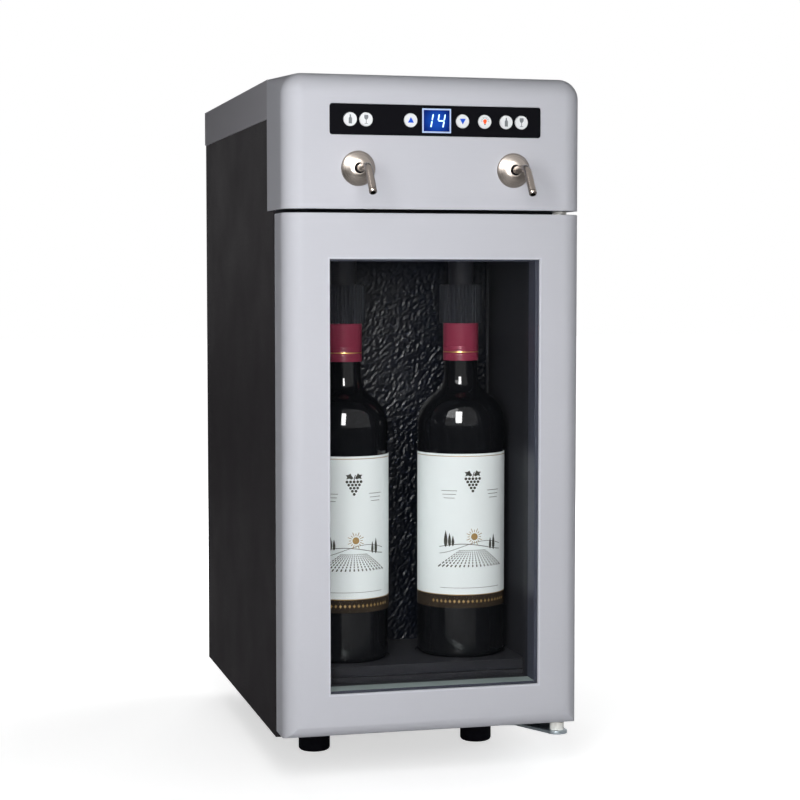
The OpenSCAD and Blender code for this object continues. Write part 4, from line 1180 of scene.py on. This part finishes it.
@dataclass
class Door:
    """The glazed door: lacquered frame, glazing unit, black inner frame and gasket."""

    glass_edge: float = 7.7
    trim_width: float = 1.5
    trim_proud: float = 0.15

    def spacer(self) -> None:
        """Makes the glazing unit's spacer, with painted light on its sill and painted shade on its other
        sides.
        """
        spacer = softened("pane_spacer", SPACER_PAINTED_SHADE, 0.4)
        middle = Extent.of("pane_spacer").middle
        height = at(*middle).z
        spacer.data.materials.append(SPACER_PAINTED_LIT.material())
        # Faces that look up below the middle, the sill, take the painted light; the rest keep the painted
        # shade.
        for face in spacer.data.polygons:
            if face.normal.z > 0.7 and face.center.z < height:
                face.material_index = 1

    def trim(self) -> None:
        """Makes the bevelled edge round the window, as a frame of four mitred sides, in lacquer painted
        lighter as a painted highlight.
        """
        spacer = Extent.of("pane_spacer")
        frame_box = Extent.of("door_frame")
        stile = spacer.low.x - frame_box.low.x + self.glass_edge
        half_width = frame_box.size.x / 2 - stile
        half_height = frame_box.size.z / 2 - stile
        section = [(-0.1, 1.6), (-0.1, 0.6), (0.6, -self.trim_proud), (self.trim_width, -self.trim_proud),
                   (self.trim_width, 0.5)]
        bm = bmesh.new()
        corners = []
        for across, up in ((-1, -1), (1, -1), (1, 1), (-1, 1)):
            corners.append([
                bm.verts.new(at(frame_box.middle.x + across * (half_width + out), back,
                                frame_box.middle.z + up * (half_height + out))) for out, back in section])
        for this, following in zip(corners, corners[1:] + corners[:1]):
            for i in range(len(section)):
                j = (i + 1) % len(section)
                bm.faces.new((this[i], this[j], following[j], following[i]))
        bmesh.ops.recalc_face_normals(bm, faces=bm.faces)
        # The trim's lighter lacquer is a painted highlight.
        fit(new_object("window_trim_painted_highlight", bm, 20), LACQUER_PAINTED_HIGHLIGHT, "door_frame")

    @staticmethod
    def clear_panes() -> None:
        """Lets the light through the panes, which would otherwise stop it after a few surfaces."""
        for node in ("outer_pane", "inner_pane"):
            pane = frame["nodes"][node]
            pane.visible_shadow = False
            pane.visible_glossy = False

    def build(self) -> None:
        """Makes the door's pieces."""
        softened("door_frame", SILVER_LACQUER, 0.55)
        softened("door_inner_frame", BLACK_MOULDED, 0.6)
        self.spacer()
        self.trim()
        self.clear_panes()
        softened("door_gasket", RUBBER, 1.6, 4)
        softened("lower_hinge_bracket", ZINC_PLATE, 0.5)
        softened("upper_hinge_bracket", ZINC_PLATE, 0.5)
        softened("hinge_bushes", NYLON, 0.3)


@dataclass
class Compartment:
    """The cooled compartment: liner, embossed plate, tray and lamp."""

    pebble_width: float = 2.2
    pebble_length: float = 4.0
    pebble_lean: float = 35.0
    pebble_height: float = 0.8
    pebble_steepness: float = 1.6
    swell_width: float = 14.0
    swell_length: float = 17.0
    rim_depth: float = 0.9
    grid: float = 1.0

    def dip(self, x: float, z: float) -> float:
        """Gives how far the sheet lies behind the tops of its pebbles, which lean and vary in height.

        Args:
            x: Place across.
            z: Height above the table.

        Returns:
            The depth in millimetres.
        """
        lean = math.radians(self.pebble_lean)
        along = x * math.sin(lean) + z * math.cos(lean)
        across = x * math.cos(lean) - z * math.sin(lean)
        distances, _ = noise.voronoi(Vector((across / self.pebble_width, along / self.pebble_length, 3.7)))
        swell = noise.noise(Vector((x / self.swell_width, z / self.swell_length, 1.3)))
        fall = min(1.0, distances[0] ** 2 * self.pebble_steepness)
        return fall * self.pebble_height * (0.8 + 0.3 * swell)

    def plate(self) -> None:
        """Makes the pebbled sheet behind the bottles as real relief."""
        box = Extent.of("cold_plate")
        columns = round(box.size.x / self.grid)
        rows = round(box.size.z / self.grid)
        bm = bmesh.new()
        lattice = []
        for j in range(rows + 1):
            z = box.low.z + box.size.z * j / rows
            line = []
            for i in range(columns + 1):
                x = box.low.x + box.size.x * i / columns
                inside = 0 < i < columns and 0 < j < rows
                dip = self.dip(x, z) if inside else self.rim_depth
                line.append(bm.verts.new(at(x, box.low.y + max(0.02, dip), z)))
            lattice.append(line)
        for low, high in zip(lattice, lattice[1:]):
            for i in range(columns):
                bm.faces.new((low[i], low[i + 1], high[i + 1], high[i]))
        rim = [e for e in bm.edges if e.is_boundary]
        back = bmesh.ops.extrude_edge_only(bm, edges=rim)
        for vert in (v for v in back["geom"] if isinstance(v, bmesh.types.BMVert)):
            vert.co.y = at(0, box.high.y, 0).y
        bmesh.ops.holes_fill(bm, edges=[e for e in bm.edges if e.is_boundary])
        bmesh.ops.recalc_face_normals(bm, faces=bm.faces)
        fit(new_object("cold_plate_embossed", bm, 60), EMBOSSED_BLACK, "cold_plate", ["cold_plate"])

    def build(self) -> None:
        """Makes the compartment's pieces."""
        softened("inner_liner", BLACK_MOULDED, 0.6)
        softened("bottle_tray", BLACK_MOULDED, 0.7)
        softened("cabin_lamp", OPAL, 0.8)
        self.plate()


@dataclass
class Bottles:
    """Two bottles with their labels, capsules and ribbed heads."""

    height: float = 315.0
    radius: float = 38.5
    neck: float = 14.8
    shoulder_low: float = 0.648
    shoulder_high: float = 0.785
    shoulder_arc: float = 31.0
    fillet_arc: float = 19.9
    arc_angle: float = 57.7
    capsule_radius: float = 15.6
    print_depth: float = 0.06
    label_turn: float = 190.0
    label_thickness: float = 0.36
    band_top: float = 11.3
    ornament_height: float = 0.76

    def outline(self) -> Outline:
        """Gives the outline of the closed bottle, from the punt round to the mouth."""
        low, high = self.shoulder_low * self.height, self.shoulder_high * self.height
        points = [(0, 15), (6, 14.6), (12, 12.5), (20, 5.5), (24.5, 1.2), (27, 0.2), (self.radius - 6, 0)]
        points += [(self.radius - 6 + 6 * math.sin(math.radians(a)), 6 - 6 * math.cos(math.radians(a)))
                   for a in (15, 30, 45, 60, 75, 90)]
        points += [(self.radius, 60), (self.radius, 120), (self.radius, low)]
        turns = [math.radians(self.arc_angle * i / 14) for i in range(15)]
        convex, concave = self.shoulder_arc, self.fillet_arc
        points += [(self.radius - convex * (1 - math.cos(a)), low + convex * math.sin(a))
                   for a in turns[1:]]
        points += [(self.neck + concave * (1 - math.cos(a)), high - concave * math.sin(a))
                   for a in reversed(turns[:-1])]
        h = self.height
        points += [(self.neck - 0.3, high + 20), (self.neck - 0.4, h - 10), (self.neck - 0.4, h - 8),
                   (self.neck + 0.2, h - 7.5), (self.neck + 0.2, h - 1.6), (self.neck - 0.4, h), (9.8, h),
                   (9.3, h - 0.8), (9.3, h - 40), (0, h - 40)]
        return points

    def wrap(self, centre: Vector, radius: float) -> Callable[[float, float, float], Vector]:
        """Gives the mapping from a label's plane to the round of the bottle.

        Args:
            centre: The bottle's centre at the label's foot, in the object's millimetres.
            radius: Radius of the surface.

        Returns:
            A function of u, v and height.
        """

        def place(u: float, v: float, lift: float) -> Vector:
            """Bends a point of the print round the bottle."""
            a = u / radius
            r = radius + lift
            return at(centre.x + r * math.sin(a), centre.y - r * math.cos(a), centre.z + v)

        return place

    def label(self, side: str, centre: Vector, foot: float, top: float) -> None:
        """Prints a plain ornamental label: rules, a bunch of grapes, a vineyard and a dark foot band.

        Args:
            side: Which bottle it is.
            centre: The bottle's axis.
            foot: Height of the label's lower edge.
            top: Height of its upper edge.
        """
        half = math.radians(self.label_turn / 2) * self.radius
        tall = top - foot
        middle = tall * self.ornament_height
        low = Vector((centre.x, centre.y, foot))
        surface = self.wrap(low, self.radius + self.label_thickness)
        band, gold, grey = Stencil(), Stencil(), Stencil()
        band.rectangle(-half, 0.0, half, self.band_top)
        gold.rectangle(-half, self.band_top, half, 11.9)
        gold.rectangle(-half, tall - 2.4, half, tall - 1.9)
        for i in range(-9, 10):
            gold.add([(i * 4 - 1.2, 5.8), (i * 4, 4.2), (i * 4 + 1.2, 5.8), (i * 4, 7.4)])
        grey.rectangle(-29, 17.5, 29, 17.8)
        self.vineyard(grey, gold, 36.0)
        self.grapes(grey, middle)
        for sign in (-1, 1):
            for row in range(3):
                grey.rectangle(sign * 21 - 7 + row, middle - row * 3.2, sign * 21 + 7 - row,
                               middle + 0.4 - row * 3.2)
        for name, stencil, ink in (("band", band, LABEL_BROWN), ("gilding", gold, LABEL_GOLD),
                                   ("ornament", grey, LABEL_GREY)):
            lift = self.print_depth * (2 if name == "gilding" else 1)
            fit(stencil.build(f"{side}_label_{name}", surface, lift, 3.0), ink, "labels")

    @staticmethod
    def grapes(ink: Stencil, foot: float) -> None:
        """Draws a hanging bunch of grapes with its stalk and two leaves.

        Args:
            ink: What it is printed with.
            foot: Height of the lowest grape.
        """
        pitch = 3.1
        for row, count in enumerate((1, 2, 3, 4, 5)):
            for i in range(count):
                ink.disc(((i - (count - 1) / 2) * pitch, foot + row * pitch * 0.86), 1.25, 20)
        top = foot + 5 * pitch * 0.86
        ink.stroke([(0, top - 1.2), (0.3, top + 1), (1.3, top + 3.2)], 0.7)
        leaf = [(0.6, 0.4), (2.4, -0.6), (4.2, 0.2), (6.8, -0.4), (6.0, 1.6), (7.4, 3.2), (4.8, 3.4),
                (3.2, 4.6), (2.2, 2.6)]
        for sign in (-1, 1):
            ink.add([(sign * u, top + v) for u, v in leaf][::sign])

    @staticmethod
    def vineyard(ink: Stencil, gilt: Stencil, foot: float) -> None:
        """Draws rows of vines that run up to a hill, cypresses and a low sun.

        Args:
            ink: What the land and the trees are printed with.
            gilt: What the sun is printed with.
            foot: Height of the nearest vines.
        """
        ridge = foot + 17.0

        def hill(u: float, height: float, shift: float) -> float:
            """Gives the height of a ridge at a place across."""
            return ridge + height * math.cos((u - shift) / 15)

        across = [i * 1.5 for i in range(-20, 21)]
        for height, shift, width in ((3.2, -9, 0.55), (5.6, 12, 0.4)):
            ink.stroke([(u, hill(u, height, shift)) for u in across], width)
        for row in range(-8, 9):
            for step in range(8):
                near, far = step / 8, (step + 0.62) / 8
                start = (row * (3.9 - 2.6 * near ** 0.8), foot + 15.5 * near ** 0.8)
                end = (row * (3.9 - 2.6 * far ** 0.8), foot + 15.5 * far ** 0.8)
                ink.stroke([start, end], 1.15 * (1 - 0.6 * near))
        cypresses = ((-24, 15, 1.7), (-20.5, 12, 1.4), (-17.5, 9.5, 1.2), (17.5, 10.5, 1.3), (21.5, 14, 1.6))
        rise = [i / 8 for i in range(9)]
        for u, tall, wide in cypresses:
            low = hill(u, 3.2, -9) - 1.5
            right = [(u + wide * math.sin(math.pi * t ** 0.7), low + tall * t) for t in rise]
            ink.add(right + [(2 * u - x, v) for x, v in reversed(right[1:-1])])
        centre = (1.5, ridge + 9.5)
        gilt.disc(centre, 3.0)
        for i in range(16):
            a = 2 * math.pi * i / 16
            reach = 7.6 if i % 2 else 6.2
            ray = [(centre[0] + r * math.cos(a), centre[1] + r * math.sin(a)) for r in (4.1, reach)]
            gilt.stroke(ray, 0.5)

    def capsule(self, side: str, centre: Vector, low: float, high: float, first: bool) -> None:
        """Makes one capsule with its gold line and the fine rings pressed near its foot."""
        r = self.capsule_radius
        foot = at(centre.x, centre.y, 0)
        outline = [(r - 0.35, low), (r, low + 0.3), (r, low + 5)]
        for ring in (6.0, 9.5, 11.0, 12.5):
            outline += [(r, low + ring - 0.35), (r - 0.16, low + ring), (r, low + ring + 0.35)]
        outline += [(r, high - 0.4), (r - 0.4, high), (self.neck + 0.3, high), (self.neck + 0.3, low)]
        body = turned(f"{side}_capsule", outline, foot, Axis.UP)
        fit(body, CAPSULE_FOIL, "capsules", ["capsules"] if first else [])
        line = [(r - 0.05, low + 7.1), (r + 0.06, low + 7.2), (r + 0.06, low + 8.0), (r - 0.05, low + 8.1)]
        fit(turned(f"{side}_capsule_line", line, foot, Axis.UP), GOLD_FOIL, "capsules")

    def build(self) -> None:
        """Makes both bottles with what they carry."""
        capsules = Extent.of("capsules")
        labels = Extent.of("labels")
        for first, (side, node) in enumerate((("left", "left_bottle"), ("right", "right_bottle"))):
            box = Extent.of(node)
            centre = Vector((box.middle.x, box.middle.y, box.low.z))
            glass = turned(f"{side}_bottle_blown", self.outline(), at(*centre), Axis.UP, 128, closed=False)
            fit(glass, BOTTLE_GLASS, node, [node])
            self.capsule(side, centre, capsules.low.z, capsules.high.z, first == 0)
            self.label(side, centre, labels.low.z, labels.high.z)
        softened("bottle_heads", HEAD_PLASTIC, 0.2, 1)


@dataclass
class Works:
    """What the cabinet holds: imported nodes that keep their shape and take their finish."""

    def build(self) -> None:
        """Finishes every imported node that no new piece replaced."""
        for node, obj in frame["nodes"].items():
            if node != "display_screen":
                dress(obj, FINISH_OF_SLOT[SLOT_OF[node]])


def main() -> None:
    """Builds the scene in order."""
    logging.basicConfig(level=logging.INFO, format="%(name)s: %(message)s")
    studio = Studio()
    studio.set_camera()
    Works().build()
    for part in (Cabinet(), Hood(), ControlStrip(), Spouts(), Door(), Compartment(), Bottles()):
        part.build()
        LOG.info("%s done", type(part).__name__)
    studio.build()


if __name__ == "__main__":
    main()
